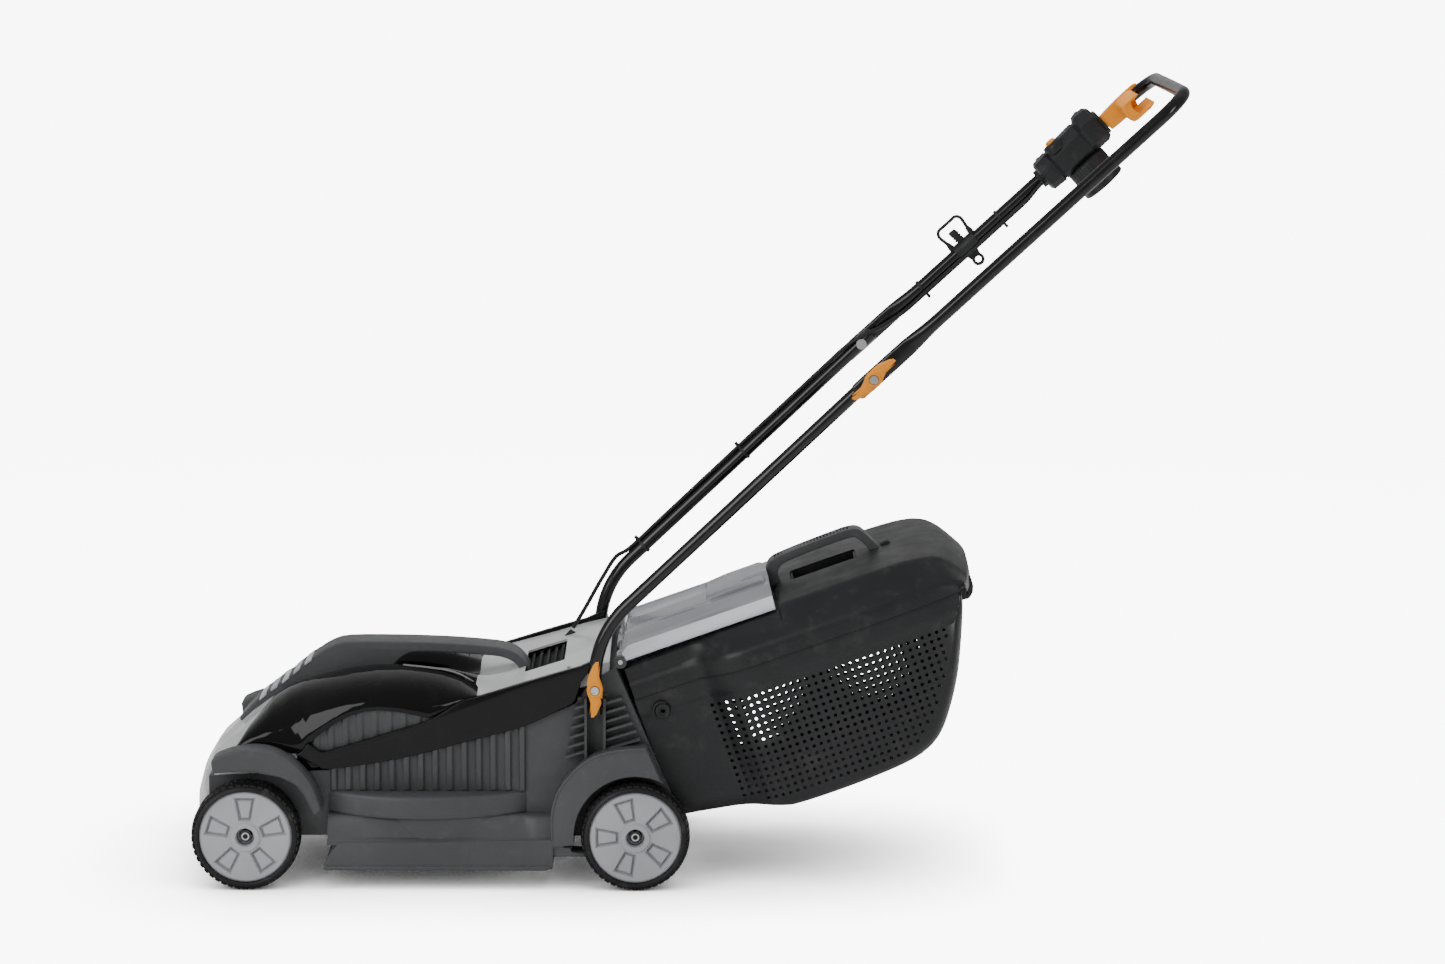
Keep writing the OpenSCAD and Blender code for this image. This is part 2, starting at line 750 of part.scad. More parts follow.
module start_lever() {
    color(orange) on_upper() union() {
        block([box_u1 - 24, arm_y0, arm_low], [lever_u + 24, arm_y1, arm_high]);
        slab(lever_y, arm_y1) translate([lever_u, 0]) difference() {
            polygon([[-3, -8], [3, -12], [32, -12], [38, -9], [38, 9], [36, 12], [4, 12], [-3, 8]]);
            polygon([[4, -9], [40, -9], [40, 9], [4, 9]]);
        }
        for (y = [lever_y + 18:24:arm_y1 - 12])
            slab(y, y + 2) translate([lever_u, 0]) polygon([[3, -10], [12, -10], [9, 0], [12, 10], [3, 10]]);
    }
}

module safety_button() {
    color(orange) on_upper() translate([button_u, button_y, 0]) difference() {
        union() {
            translate([0, 0, 15]) cylinder(r = 7.1, h = 18);
            translate([0, 0, 12]) cylinder(r = 9, h = 3);
        }
        // blind bore that takes the spring
        translate([0, 0, 11]) cylinder(r = spring_r + 0.3, h = 9);
    }
}

// Return springs of the start lever and the safety button
module switch_springs() {
    color(steel) on_upper() translate([386, 153, 3]) rotate([0, 90, 0]) difference() {
        cylinder(r = 4.5, h = 21);
        translate([0, 0, -1]) cylinder(r = 3.5, h = 23);
    }
    color(steel) on_upper() translate([button_u, button_y, 2.2]) difference() {
        cylinder(r = spring_r, h = 13.4);
        translate([0, 0, -1]) cylinder(r = spring_r - 1, h = 16);
    }
}

// ---- Power cable along the right tubes ----

cable_r = 2.8;
cable_lift = 11.3;
function low_tube_z(x) = fold[1] + (x - fold[0]) * tan(lower_slope);
lower_cable_route = [[410, 97, 284], [416, 100, 290], [428, 110, 306], [442, 128, 324],
    [458, 146, 345], [474, 158, 362], each [for (x = [492, 512, 560, 620, 680, 740, 776]) [x, 163, low_tube_z(x)]]];
upper_cable_route = [[40, 169, -12.4], [90, 169, -12.4], [160, 169, -12.4], [230, 169, -12.4],
    [280, 169, -12.4], [300, 167, -11], [312, 163, -6], [323.5, 160, -2]];

function unit(v) = v / norm(v);
function direction(route, i) = unit(route[min(i + 1, len(route) - 1)] - route[max(i - 1, 0)]);

// A round tube swept along the route's points
module swept(route, r, sides = 8) {
    loft([for (i = [0:len(route) - 1])
        let (d = direction(route, i), a = unit(cross(d, [0, 1, 0.01])), b = cross(d, a))
        [for (k = [0:sides - 1]) let (turn = k * 360 / sides) route[i] + r * (cos(turn) * a + sin(turn) * b)]]);
}

// Lifts the part of the route that follows the sloping tube onto the tube's back
function on_tube(p, lift) = p + lift * [-sin(lower_slope), 0, cos(lower_slope)];

module lower_cable() {
    color(black) on_frame()
        swept([for (i = [0:len(lower_cable_route) - 1])
            on_tube(lower_cable_route[i], min(i * 1.9, cable_lift))], cable_r);
}

module lower_cable_ties() {
    color(black) on_frame()
        for (x = [505, 640])
            translate([x, lower_tube_y, low_tube_z(x)]) rotate([0, -lower_slope, 0])
                difference() {
                    union() {
                        translate([-2, 0, 0]) rotate([0, 90, 0]) cylinder(r = tube_r + 1.6, h = 4);
                        translate([-2, -4.5, 5]) cube([4, 9, 13]);
                    }
                    translate([-5, 0, 0]) rotate([0, 90, 0]) cylinder(r = tube_r + 0.1, h = 10);
                    translate([-5, 0, cable_lift]) rotate([0, 90, 0]) cylinder(r = cable_r + 0.4, h = 10);
                }
}

module cable_gland() {
    color(black) on_frame() translate([404, 93, 268]) rotate([0, 34, 20]) difference() {
        cylinder(r1 = 8, r2 = 5, h = 14, $fn = 32);
        translate([0, 0, -1]) cylinder(r = cable_r + 0.2, h = 20);
    }
}

module upper_cable() {
    color(black) on_upper()
        swept(upper_cable_route, cable_r);
}

module upper_cable_ties() {
    color(black) on_upper()
        for (u = [110, 250])
            translate([u, upper_tube_y, 0]) difference() {
                union() {
                    translate([-2, 0, 0]) rotate([0, 90, 0]) cylinder(r = tube_r + 1.6, h = 4);
                    translate([-2, -13, -17]) cube([4, 10, 12]);
                }
                translate([-5, 0, 0]) rotate([0, 90, 0]) cylinder(r = tube_r + 0.05, h = 10);
                translate([-5, -8, -12.4]) rotate([0, 90, 0]) cylinder(r = cable_r + 0.4, h = 10);
            }
}

// ---- Rear flap ----

flap_hinge = [478, 290];
flap_pin_r = 3;

module flap_rod() {
    color(steel) on_frame() rod_y(flap_hinge, flap_pin_r, -149, 149);
}

module flap_spring() {
    color(steel) on_frame() difference() {
        rod_y(flap_hinge, 6, -136, -112);
        rod_y(flap_hinge, 4.2, -140, -108);
    }
}

// Smoked translucent cover with a raised finger dome and stiffening ribs
module rear_flap() {
    color("gray", 0.6) on_catcher() difference() {
        union() {
            slab(-148, 148) polygon([[10, 221.5], [206, 223], [206, 226.5], [10, 225]]);
            both_sides(144.5, 148) polygon([[10, 221.5], [206, 223], [206, 231], [30, 230], [10, 227]]);
            for (y = [-60, 60])
                slab(y - 1.5, y + 1.5) polygon([[20, 223], [200, 225], [200, 230], [30, 228.5]]);
            slab(-34, 34) polygon([[150, 223], [204, 224], [206, 246], [196, 248], [168, 236]]);
            both_sides(96, 110) flap_knuckle();
            slab(-40, 40) flap_knuckle();
        }
        slab(-31, 31) polygon([[158, 219], [210, 219], [210, 242], [196, 244.5], [170, 232.5]]);
        translate([flap_pin_place[0], 200, flap_pin_place[1]]) rotate([90, 0, 0])
            cylinder(r = flap_pin_r + fit, h = 400);
    }
}

flap_from_corner = flap_hinge - catcher_corner;
flap_pin_place = [flap_from_corner[0] * cos(catcher_tilt) + flap_from_corner[1] * sin(catcher_tilt),
    flap_from_corner[1] * cos(catcher_tilt) - flap_from_corner[0] * sin(catcher_tilt)];

module flap_knuckle() {
    translate(flap_pin_place) circle(r = 6.5, $fn = round_fn);
    polygon([[flap_pin_place[0], flap_pin_place[1] + 6.4], [14, 225], [14, 221.5],
        [flap_pin_place[0] + 6, flap_pin_place[1] + 1]]);
}

// ---- Grass catcher ----

// Each ring holds X along the tilt, the half widths above and below, and the bottom's height
nw = neck_half_w;
cw = catcher_half_w;
lower_rings = [[2, nw + 3, nw - 2, -4], [60, nw + 5, nw, -12], [92, nw + 12, nw + 4, -17],
    [122, cw - 8, cw - 22, -25], [150, cw, cw - 15, -29], [220, cw, cw - 15, -30], [290, cw, cw - 15, -26],
    [330, cw - 2, cw - 17, -17], [360, cw - 6, cw - 21, 4], [385, cw - 10, cw - 27, 40],
    [405, cw - 13, cw - 32, 85], [422, cw - 17, cw - 36, 130], [431, cw - 19, cw - 38, 160]];
seam = 169;

function lower_ring(s, inset) = let (w = s[1] - inset, v = s[2] - inset, b = min(s[3], seam - 12) + inset,
        side_z = min(b + 26, seam - 4))
    [[s[0], -w, seam - gap], [s[0], -v - 4, side_z], [s[0], -v + 12, b], [s[0], v - 12, b],
        [s[0], v + 4, side_z], [s[0], w, seam - gap]];

module catcher_lower() {
    color(black) on_catcher() difference() {
        loft([for (s = lower_rings) lower_ring(s, 0)]);
        loft([for (s = lower_rings) lower_ring([s[0] - (s[0] < 10 ? 10 : wall), s[1], s[2], s[3]], wall)
            + [for (k = [0:5]) [0, 0, k == 0 || k == 5 ? 10 : 0]]]);
    }
}

// Each ring holds X, the half width, the shoulder's height, the ridge's half width and the top
upper_rings = [[10, nw + 4, 190, nw - 6, 215], [96, nw + 6, 190, nw - 4, 217],
    [122, cw - 12, 191, cw - 44, 217.5], [150, cw, 191, cw - 40, 218], [207, cw, 191, cw - 40, 218],
    [209, cw, 191, cw - 40, 220], [330, cw, 191, cw - 40, 220], [375, cw - 1, 190, cw - 42, 219],
    [412, cw - 6, 188, cw - 48, 214], [430, cw - 13, 183, cw - 56, 197], [440, cw - 20, 174, cw - 64, 178]];

function upper_ring(s, inset) = let (w = s[1] - inset, r = s[3] - inset / 2)
    [[s[0], w, seam], [s[0], w, s[2] - inset / 2], [s[0], r, s[4] - inset], [s[0], -r, s[4] - inset],
        [s[0], -w, s[2] - inset / 2], [s[0], -w, seam]];

module catcher_upper() {
    color(black) on_catcher() difference() {
        union() {
            loft([for (s = upper_rings) upper_ring(s, 0)]);
            slab(-70, 70) polygon([[432, 173], [450, 170], [456, 150], [450, 146], [446, 160], [438, 169.2], [432, 169.2]]);
        }
        loft([for (s = upper_rings) upper_ring([s[0] - (s[0] < 20 ? 20 : wall), s[1], s[2], s[3], s[4]], wall)
            - [for (k = [0:5]) [0, 0, k == 0 || k == 5 ? 10 : 0]]]);
        // pocket for the fingers under the carrying handle
        slab(-30, 30) polygon([[232, 230], [320, 230], [318, 217.6], [236, 217.6]]);
    }
}

module catcher_handle() {
    color(grey) on_catcher() slab(-15, 15) polygon([[211, 220.2], [212, 250], [218, 258], [258, 261],
        [314, 262], [332, 262], [341, 256], [352, 220.1], [335, 220.1], [322, 244], [226, 243], [224, 220.2]]);
}

module catcher_catches() {
    color(black) on_catcher()
        for (side = [-1, 1])
            rod_y([26, 143], 10, side * 151.4 - 2, side * 151.4 + 2);
}

deck_shell();
side_skirts();
mudguards();
handle_sockets();
top_cover();
side_panel_left();
side_panel_right();
carry_handle();
front_louvre();
motor_can();
motor_end_cap();
motor_bearing();
deck_screws();
lower_tube_left();
lower_tube_right();
lower_handle_bolts();
upper_handle_bolts();
flap_rod();
flap_spring();
cable_gland();
lower_cable();
lower_cable_ties();
front_axle();
front_axle_nuts();
rear_axle();
rear_axle_nuts();
front_left_wheel();
front_left_cap();
front_right_wheel();
front_right_cap();
rear_left_wheel();
rear_left_cap();
rear_right_wheel();
rear_right_cap();
motor_shaft();
blade_fan();
blade();
blade_bolt();
lower_wing_nut_left();
lower_wing_nut_right();
upper_wing_nut_left();
upper_wing_nut_right();
upper_handle();
switch_box_base();
switch_box_cover();
switch_box_screws();
switch_unit();
inlet_shroud();
inlet_pins();
cord_hook();
upper_cable();
upper_cable_ties();
start_lever();
safety_button();
switch_springs();
rear_flap();
catcher_lower();
catcher_upper();
catcher_handle();
catcher_catches();
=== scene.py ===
from math import atan2, copysign, cos, pi, radians, sin, tan

import bmesh
import bpy
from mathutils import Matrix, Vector


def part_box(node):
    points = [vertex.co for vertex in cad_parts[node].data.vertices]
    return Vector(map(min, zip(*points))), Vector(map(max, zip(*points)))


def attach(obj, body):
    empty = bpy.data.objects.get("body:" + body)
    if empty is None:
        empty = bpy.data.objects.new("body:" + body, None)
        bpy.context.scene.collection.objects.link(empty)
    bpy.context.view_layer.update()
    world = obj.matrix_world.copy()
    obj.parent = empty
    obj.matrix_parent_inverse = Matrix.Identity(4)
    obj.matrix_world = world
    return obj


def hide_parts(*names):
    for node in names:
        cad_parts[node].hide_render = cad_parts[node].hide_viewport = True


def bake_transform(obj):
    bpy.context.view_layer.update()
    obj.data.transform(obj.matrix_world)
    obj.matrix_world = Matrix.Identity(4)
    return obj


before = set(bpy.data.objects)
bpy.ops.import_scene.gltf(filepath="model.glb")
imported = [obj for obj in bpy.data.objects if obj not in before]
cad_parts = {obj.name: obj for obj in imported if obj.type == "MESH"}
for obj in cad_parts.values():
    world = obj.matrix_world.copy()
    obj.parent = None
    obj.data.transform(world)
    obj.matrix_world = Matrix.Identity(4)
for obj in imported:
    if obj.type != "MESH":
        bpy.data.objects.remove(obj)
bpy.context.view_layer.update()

# ---- frames and driving sizes, in millimetres
FRONT_X = sum(c.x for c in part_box("front_axle")) / 2  # in metres, in the shared frame
FOLD = (796, 662)  # fold bolt of the handle, and the origin of handle()
SLOPE = radians(42.8)
CATCH = (556, 84)  # origin of basket(), and the catcher's tilt
TILT = radians(19.6)
LOWER_BOLT = (446, 260)
LOW_SLOPE = radians(43.7)
TUBE_R = 8.5
LOWER_TUBE_Y = 163
TUBE_Y = 177  # of the upper tubes
AXLE_Z = 70
REAR_AXLE_X = 498
WHEEL_Y = 176
CAP_R = 59
WINDOWS = 5
WINDOW_LOW, WINDOW_HIGH = 21, 50.8
TREAD_BLOCKS = 46
SHOULDER = 17.2
HOLE_SIDES = 10
DECK_Y = 150  # half width of the deck's straight walls
SKIRT_Y = 172.5
BASKET_WALL = 2.4
RIM_B = 168.6  # rim of the basket, where the lid sits
LID_REAR_A = 438
LID_BULGE = 21
LID_ARC_Y = 190
HOOK_U = 192  # places of the cord hook, the button and the inlet drum up the handle
BUTTON = (367, 158)
DRUM = (384, 163)


def deck(x, y, z):
    """A point of the deck: x from the front axle, z above the floor."""
    return Vector((FRONT_X + x / 1000, y / 1000, z / 1000))


def tilted(origin, angle, a, b, y):
    """A point of a frame that is turned by the angle about its origin."""
    return deck(origin[0] + a * cos(angle) - b * sin(angle), y, origin[1] + a * sin(angle) + b * cos(angle))


def handle(u, v, y):
    """A point of the upper handle: u up the tubes from the fold bolt, v above them."""
    return tilted(FOLD, SLOPE, u, v, y)


def basket(a, b, y):
    """A point of the grass catcher: a along its tilt, b square to it."""
    return tilted(CATCH, TILT, a, b, y)


def deck_xz(x, z, y):
    return deck(x, y, z)


# ---- mesh helpers
def piece(name, verts, faces, material, smooth=35):
    mesh = bpy.data.meshes.new(name)
    mesh.from_pydata([tuple(v) for v in verts], [], faces)
    bm = bmesh.new()
    bm.from_mesh(mesh)
    bmesh.ops.remove_doubles(bm, verts=bm.verts, dist=1e-5)
    bmesh.ops.recalc_face_normals(bm, faces=bm.faces)
    bm.to_mesh(mesh)
    bm.free()
    obj = bpy.data.objects.new(name, mesh)
    bpy.context.scene.collection.objects.link(obj)
    mesh.materials.append(material)
    shade(obj, smooth)
    return obj


def shade(obj, angle=35):
    for p in obj.data.polygons:
        p.use_smooth = True
    obj.data.set_sharp_from_angle(angle=radians(angle))


def bevel(obj, width, segments=3, angle=30):
    """Rounds the mesh's own sharp edges; width in millimetres."""
    bm = bmesh.new()
    bm.from_mesh(obj.data)
    edges = [e for e in bm.edges if len(e.link_faces) == 2 and e.calc_face_angle(0) > radians(angle)]
    bmesh.ops.bevel(bm, geom=edges, offset=width / 1000, segments=segments, profile=0.5,
                    affect="EDGES", clamp_overlap=True)
    bm.to_mesh(obj.data)
    bm.free()
    shade(obj, 40)
    return obj


def solid(obj, thickness, offset=-1, even=True):
    m = obj.modifiers.new("thickness", "SOLIDIFY")
    m.thickness = thickness / 1000
    m.offset = offset
    m.use_even_offset = even
    return apply(obj)


def apply(obj):
    graph = bpy.context.evaluated_depsgraph_get()
    mesh = bpy.data.meshes.new_from_object(obj.evaluated_get(graph))
    obj.modifiers.clear()
    obj.data = mesh
    return obj


def cut(obj, cutter, exact=True):
    m = obj.modifiers.new("cut", "BOOLEAN")
    m.operation = "DIFFERENCE"
    m.object = cutter
    m.solver = "EXACT" if exact else "FAST"
    apply(obj)
    bpy.data.objects.remove(cutter)
    shade(obj)
    return obj


def join(name, objs):
    """One object out of several, each keeping its materials."""
    bm = bmesh.new()
    slots = []
    for o in objs:
        part = bmesh.new()
        part.from_mesh(o.data)
        index = []
        for m in o.data.materials:
            if m not in slots:
                slots.append(m)
            index.append(slots.index(m))
        for f in part.faces:
            f.material_index = index[f.material_index]
        part.transform(o.matrix_world)
        mesh = bpy.data.meshes.new("part")
        part.to_mesh(mesh)
        part.free()
        bm.from_mesh(mesh)
        bpy.data.meshes.remove(mesh)
        bpy.data.objects.remove(o)
    mesh = bpy.data.meshes.new(name)
    bm.to_mesh(mesh)
    bm.free()
    for m in slots:
        mesh.materials.append(m)
    obj = bpy.data.objects.new(name, mesh)
    bpy.context.scene.collection.objects.link(obj)
    return obj


def prism(name, outline, y0, y1, material, place=deck_xz, round_mm=0, segments=3):
    """An outline in the place's plane, given depth from y0 to y1."""
    n = len(outline)
    verts = [place(p[0], p[1], y) for y in (y0, y1) for p in outline]
    faces = [list(range(n)), list(range(2 * n - 1, n - 1, -1))]
    faces += [[k, (k + 1) % n, n + (k + 1) % n, n + k] for k in range(n)]
    obj = piece(name, verts, faces, material)
    return bevel(obj, round_mm, segments) if round_mm else obj


def both(build):
    """Builds a piece for the left (-1) and the right (1) side."""
    return [build(side) for side in (-1, 1)]


def loft(name, rings, material, closed=True, caps=True, smooth=35):
    n = len(rings[0])
    verts = [p for ring in rings for p in ring]
    last = n if closed else n - 1
    faces = [[r * n + k, r * n + (k + 1) % n, (r + 1) * n + (k + 1) % n, (r + 1) * n + k]
             for r in range(len(rings) - 1) for k in range(last)]
    if caps and closed:
        faces += [list(range(n)), list(range(len(verts) - n, len(verts)))]
    return piece(name, verts, faces, material, smooth)


def lathe(name, profile, centre, material, steps=96, y_sign=-1):
    """Turns (radius, depth) about Y; depth is measured outwards from the centre."""
    rings = [[centre + Vector((r * cos(t) / 1000, y_sign * d / 1000, r * sin(t) / 1000))
              for t in turns(steps)] for r, d in profile]
    return loft(name, rings, material, caps=False)


def spline(points, per=8):
    """A smooth run of points through the given ones."""
    pts = [Vector(p) for p in points]
    out = []
    for i in range(len(pts) - 1):
        a, b, c, d = pts[max(i - 1, 0)], pts[i], pts[i + 1], pts[min(i + 2, len(pts) - 1)]
        for k in range(per):
            t = k / per
            out.append(0.5 * (2 * b + (c - a) * t + (2 * a - 5 * b + 4 * c - d) * t * t
                              + (3 * b - a - 3 * c + d) * t ** 3))
    return out + [pts[-1]]


def sweep(name, route, size, material, sides=24, power=1.0, smooth=35):
    """A tube along the route. size is a radius or a list of (half width along Y, half height)."""
    rings = []
    side = Vector((0, 1, 0))
    for i, p in enumerate(route):
        d = (route[min(i + 1, len(route) - 1)] - route[max(i - 1, 0)]).normalized()
        side = (side - d * side.dot(d)).normalized()
        up = d.cross(side)
        a, b = size[i] if isinstance(size, list) else (size, size)
        ring = []
        for t in turns(sides):
            c, s = cos(t), sin(t)
            ring.append(p + side * (copysign(abs(c) ** power, c) * a / 1000)
                        + up * (copysign(abs(s) ** power, s) * b / 1000))
        rings.append(ring)
    return loft(name, rings, material, smooth=smooth)


def table(points):
    """A function that reads the value between the given (x, value) points."""
    def read(x):
        if x <= points[0][0]:
            return points[0][1]
        for (x0, v0), (x1, v1) in zip(points, points[1:]):
            if x <= x1:
                return v0 + (v1 - v0) * (x - x0) / (x1 - x0)
        return points[-1][1]
    return read


def smooth_step(x, low, high):
    t = min(1.0, max(0.0, (x - low) / (high - low)))
    return t * t * (3 - 2 * t)


def span(low, high, count):
    return [low + (high - low) * k / (count - 1) for k in range(count)]


def turns(count):
    """The angles of a full turn."""
    return [2 * pi * k / count for k in range(count)]


def word_of(side):
    return "left" if side < 0 else "right"


def side_prism(name, outline, side, near, far, material, round_mm=0, segments=3):
    """A prism between two distances from the middle, on one side."""
    low, high = sorted((side * near, side * far))
    return prism(name, outline, low, high, material, round_mm=round_mm, segments=segments)


def skin(name, rings, material, smooth=35):
    """An open sheet through the rings."""
    return loft(name, rings, material, closed=False, caps=False, smooth=smooth)


def two_halves(half):
    """A section given from its rim to the middle, with its mirror image."""
    return [(-y, b) for y, b in half] + half[-2::-1]


def add_drill(verts, faces, near, far):
    """Adds a round cutter between two rings of points."""
    first, n = len(verts), len(near)
    verts += near + far
    faces += [[first + k for k in range(n)], [first + n + k for k in reversed(range(n))]]
    faces += [[first + k, first + (k + 1) % n, first + n + (k + 1) % n, first + n + k] for k in range(n)]


def mount(obj, body, slot, *nodes):
    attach(obj, body)
    if nodes:
        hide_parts(*nodes)
    return obj


# ---- materials
DUST = (0.42, 0.41, 0.38, 1)


def add_node(tree, kind, source=None, **values):
    """A shader node with its values set; source is an output and the name of the input it feeds."""
    node = tree.nodes.new("ShaderNode" + kind)
    for name, value in values.items():
        node.inputs[name.replace("_", " ")].default_value = value
    if source:
        tree.links.new(source[0], node.inputs[source[1]])
    return node


def finish(name, colour, rough=0.5, metal=0.0, grain=0.0, grain_size=900, wear=0.06, coat=0.0, lighter=None,
           streak=False, shine=0.3):
    """A moulded or painted surface: slight patches of colour and gloss, fine grain, dust in soft drifts."""
    m = bpy.data.materials.new(name)
    m.use_nodes = True
    tree, links = m.node_tree, m.node_tree.links
    shader = tree.nodes["Principled BSDF"]
    for socket, value in (("Metallic", metal), ("Coat Weight", coat), ("Specular IOR Level", shine),
                          ("Coat Roughness", 0.06)):
        shader.inputs[socket].default_value = value
    source = add_node(tree, "TexCoord").outputs["Object"]
    if streak:
        source = add_node(tree, "Mapping", (source, "Vector"), Scale=(1, 1, 0.04)).outputs["Vector"]

    def noise(scale, detail, rough_value=0.5):
        n = add_node(tree, "TexNoise", (source, "Vector"), Scale=scale, Detail=detail,
                     Roughness=rough_value)
        return n.outputs["Fac"]

    def ramp(value, stops):
        r = add_node(tree, "ValToRGB", (value, "Fac"))
        for element, stop in zip(r.color_ramp.elements, stops):
            element.position, element.color = stop
        return r.outputs["Color"]

    light = lighter or [min(1, c * 1.22 + 0.002) for c in colour]
    patches = ramp(noise(9, 4), ((0.32, (*colour, 1)), (0.75, (*light, 1))))
    dust = ramp(noise(38, 6, 0.62), ((0.55, (0, 0, 0, 1)), (0.8, (wear, wear, wear, 1))))
    mix = tree.nodes.new("ShaderNodeMix")
    mix.data_type = "RGBA"
    # a mix of two colours takes its factor at input 0, the colours at 6 and 7, and gives output 2
    mix.inputs[7].default_value = DUST
    links.new(dust, mix.inputs[0])
    links.new(patches, mix.inputs[6])
    links.new(mix.outputs[2], shader.inputs["Base Color"])
    level = add_node(tree, "MapRange", (noise(24, 5, 0.6), "Value"), From_Min=0.3, From_Max=0.7,
                     To_Min=max(0.03, rough * 0.82), To_Max=min(1.0, rough * 1.2))
    links.new(level.outputs["Result"], shader.inputs["Roughness"])
    if grain:
        bump = add_node(tree, "Bump", (noise(grain_size, 3), "Height"), Strength=grain, Distance=0.0004)
        links.new(bump.outputs["Normal"], shader.inputs["Normal"])
    return m


grey = finish("grey_moulding", (0.056, 0.058, 0.060), 0.46, grain=0.35, wear=0.05)
charcoal = finish("charcoal_moulding", (0.012, 0.0125, 0.0135), 0.38, grain=0.35, wear=0.05)
# near-black: the colour of small black parts and seams, and painted shade inside slots, notches and the
# hub's recess
black_and_recess_shade = finish("black_and_painted_recess_shade", (0.008, 0.008, 0.009), 0.6, grain=0.2, wear=0.03)
silver = finish("silver_moulding", (0.42, 0.425, 0.43), 0.24, grain=0.05, wear=0.03, coat=0.4)
gloss = finish("gloss_black", (0.0015, 0.0015, 0.0018), 0.07, wear=0.01, coat=0.12, shine=0.2)
paint = finish("tube_paint", (0.003, 0.003, 0.0033), 0.2, grain=0.06, grain_size=400, wear=0.04, coat=0.3)
switch = finish("switch_plastic", (0.012, 0.0125, 0.0135), 0.42, grain=0.4, wear=0.05)
orange = finish("orange_moulding", (0.80, 0.27, 0.012), 0.46, grain=0.15, wear=0.03,
    lighter=(0.84, 0.31, 0.018))
tyre = finish("tyre_moulding", (0.006, 0.006, 0.0065), 0.5, grain=0.3, wear=0.09)
cap = finish("cap_moulding", (0.34, 0.35, 0.37), 0.40, grain=0.25, wear=0.05)
zinc = finish("zinc_steel", (0.55, 0.55, 0.54), 0.28, metal=1.0, grain=0.12, grain_size=500, wear=0.08)
# near-black steel for the axle nuts: painted shade of the hub's recess
hub_shade_steel = finish("steel_darkened_as_hub_shade", (0.05, 0.05, 0.052), 0.32, metal=0.8, grain=0.15, grain_size=500, wear=0.08)
turned = finish("turned_steel", (0.5, 0.5, 0.5), 0.3, metal=1.0, grain=0.2, grain_size=700, wear=0.06,
    streak=True)
blade_paint = finish("blade_paint", (0.03, 0.03, 0.033), 0.4, grain=0.2, wear=0.12)
rubber = finish("cable_rubber", (0.01, 0.01, 0.0105), 0.42, grain=0.15, wear=0.06)
brass = finish("brass_pins", (0.7, 0.5, 0.2), 0.25, metal=1.0, grain=0.1, wear=0.05)
# a lighter copy of the smoked flap plastic: painted highlight on the flap's edge facets
flap_painted_highlight = finish("smoked_flap_painted_highlight", (0.50, 0.52, 0.56), 0.16, wear=0.02, coat=0.5)
smoke = finish("smoked_flap", (0.22, 0.23, 0.245), 0.14, wear=0.02, coat=0.4)
shader = smoke.node_tree.nodes["Principled BSDF"]
shader.inputs["Transmission Weight"].default_value = 0.1
shader.inputs["Alpha"].default_value = 0.9

# ---- wheels
def window_depth(x, y):
    """How deep the hub cap is cut at (x, y), in millimetres; one window points up the y axis."""
    deepest = 0.0
    for k in range(WINDOWS):
        t = k * 2 * pi / WINDOWS
        a, b = x * cos(t) + y * sin(t), -x * sin(t) + y * cos(t)
        half = 7.8 + (b - WINDOW_LOW) * 0.186
        inside = min(b - WINDOW_LOW, WINDOW_HIGH - b, (half - abs(a)) * 0.98)
        pad = 0.62 * smooth_step(inside, 2.4, 4.2)
        deepest = max(deepest, smooth_step(inside, -0.4, 1.6) - pad)
    return deepest * 6


def cap_front(r):
    """Height of the cap over its rim: a shallow dish with a raised ring round the hub."""
    ring = smooth_step(r, 11.5, 12.6) * (1 - smooth_step(r, 17.8, 19.4)) * 2.6
    return ring + 1.6 * (1 - (r / CAP_R) ** 2) - 1.4 * smooth_step(r, 57.2, CAP_R)


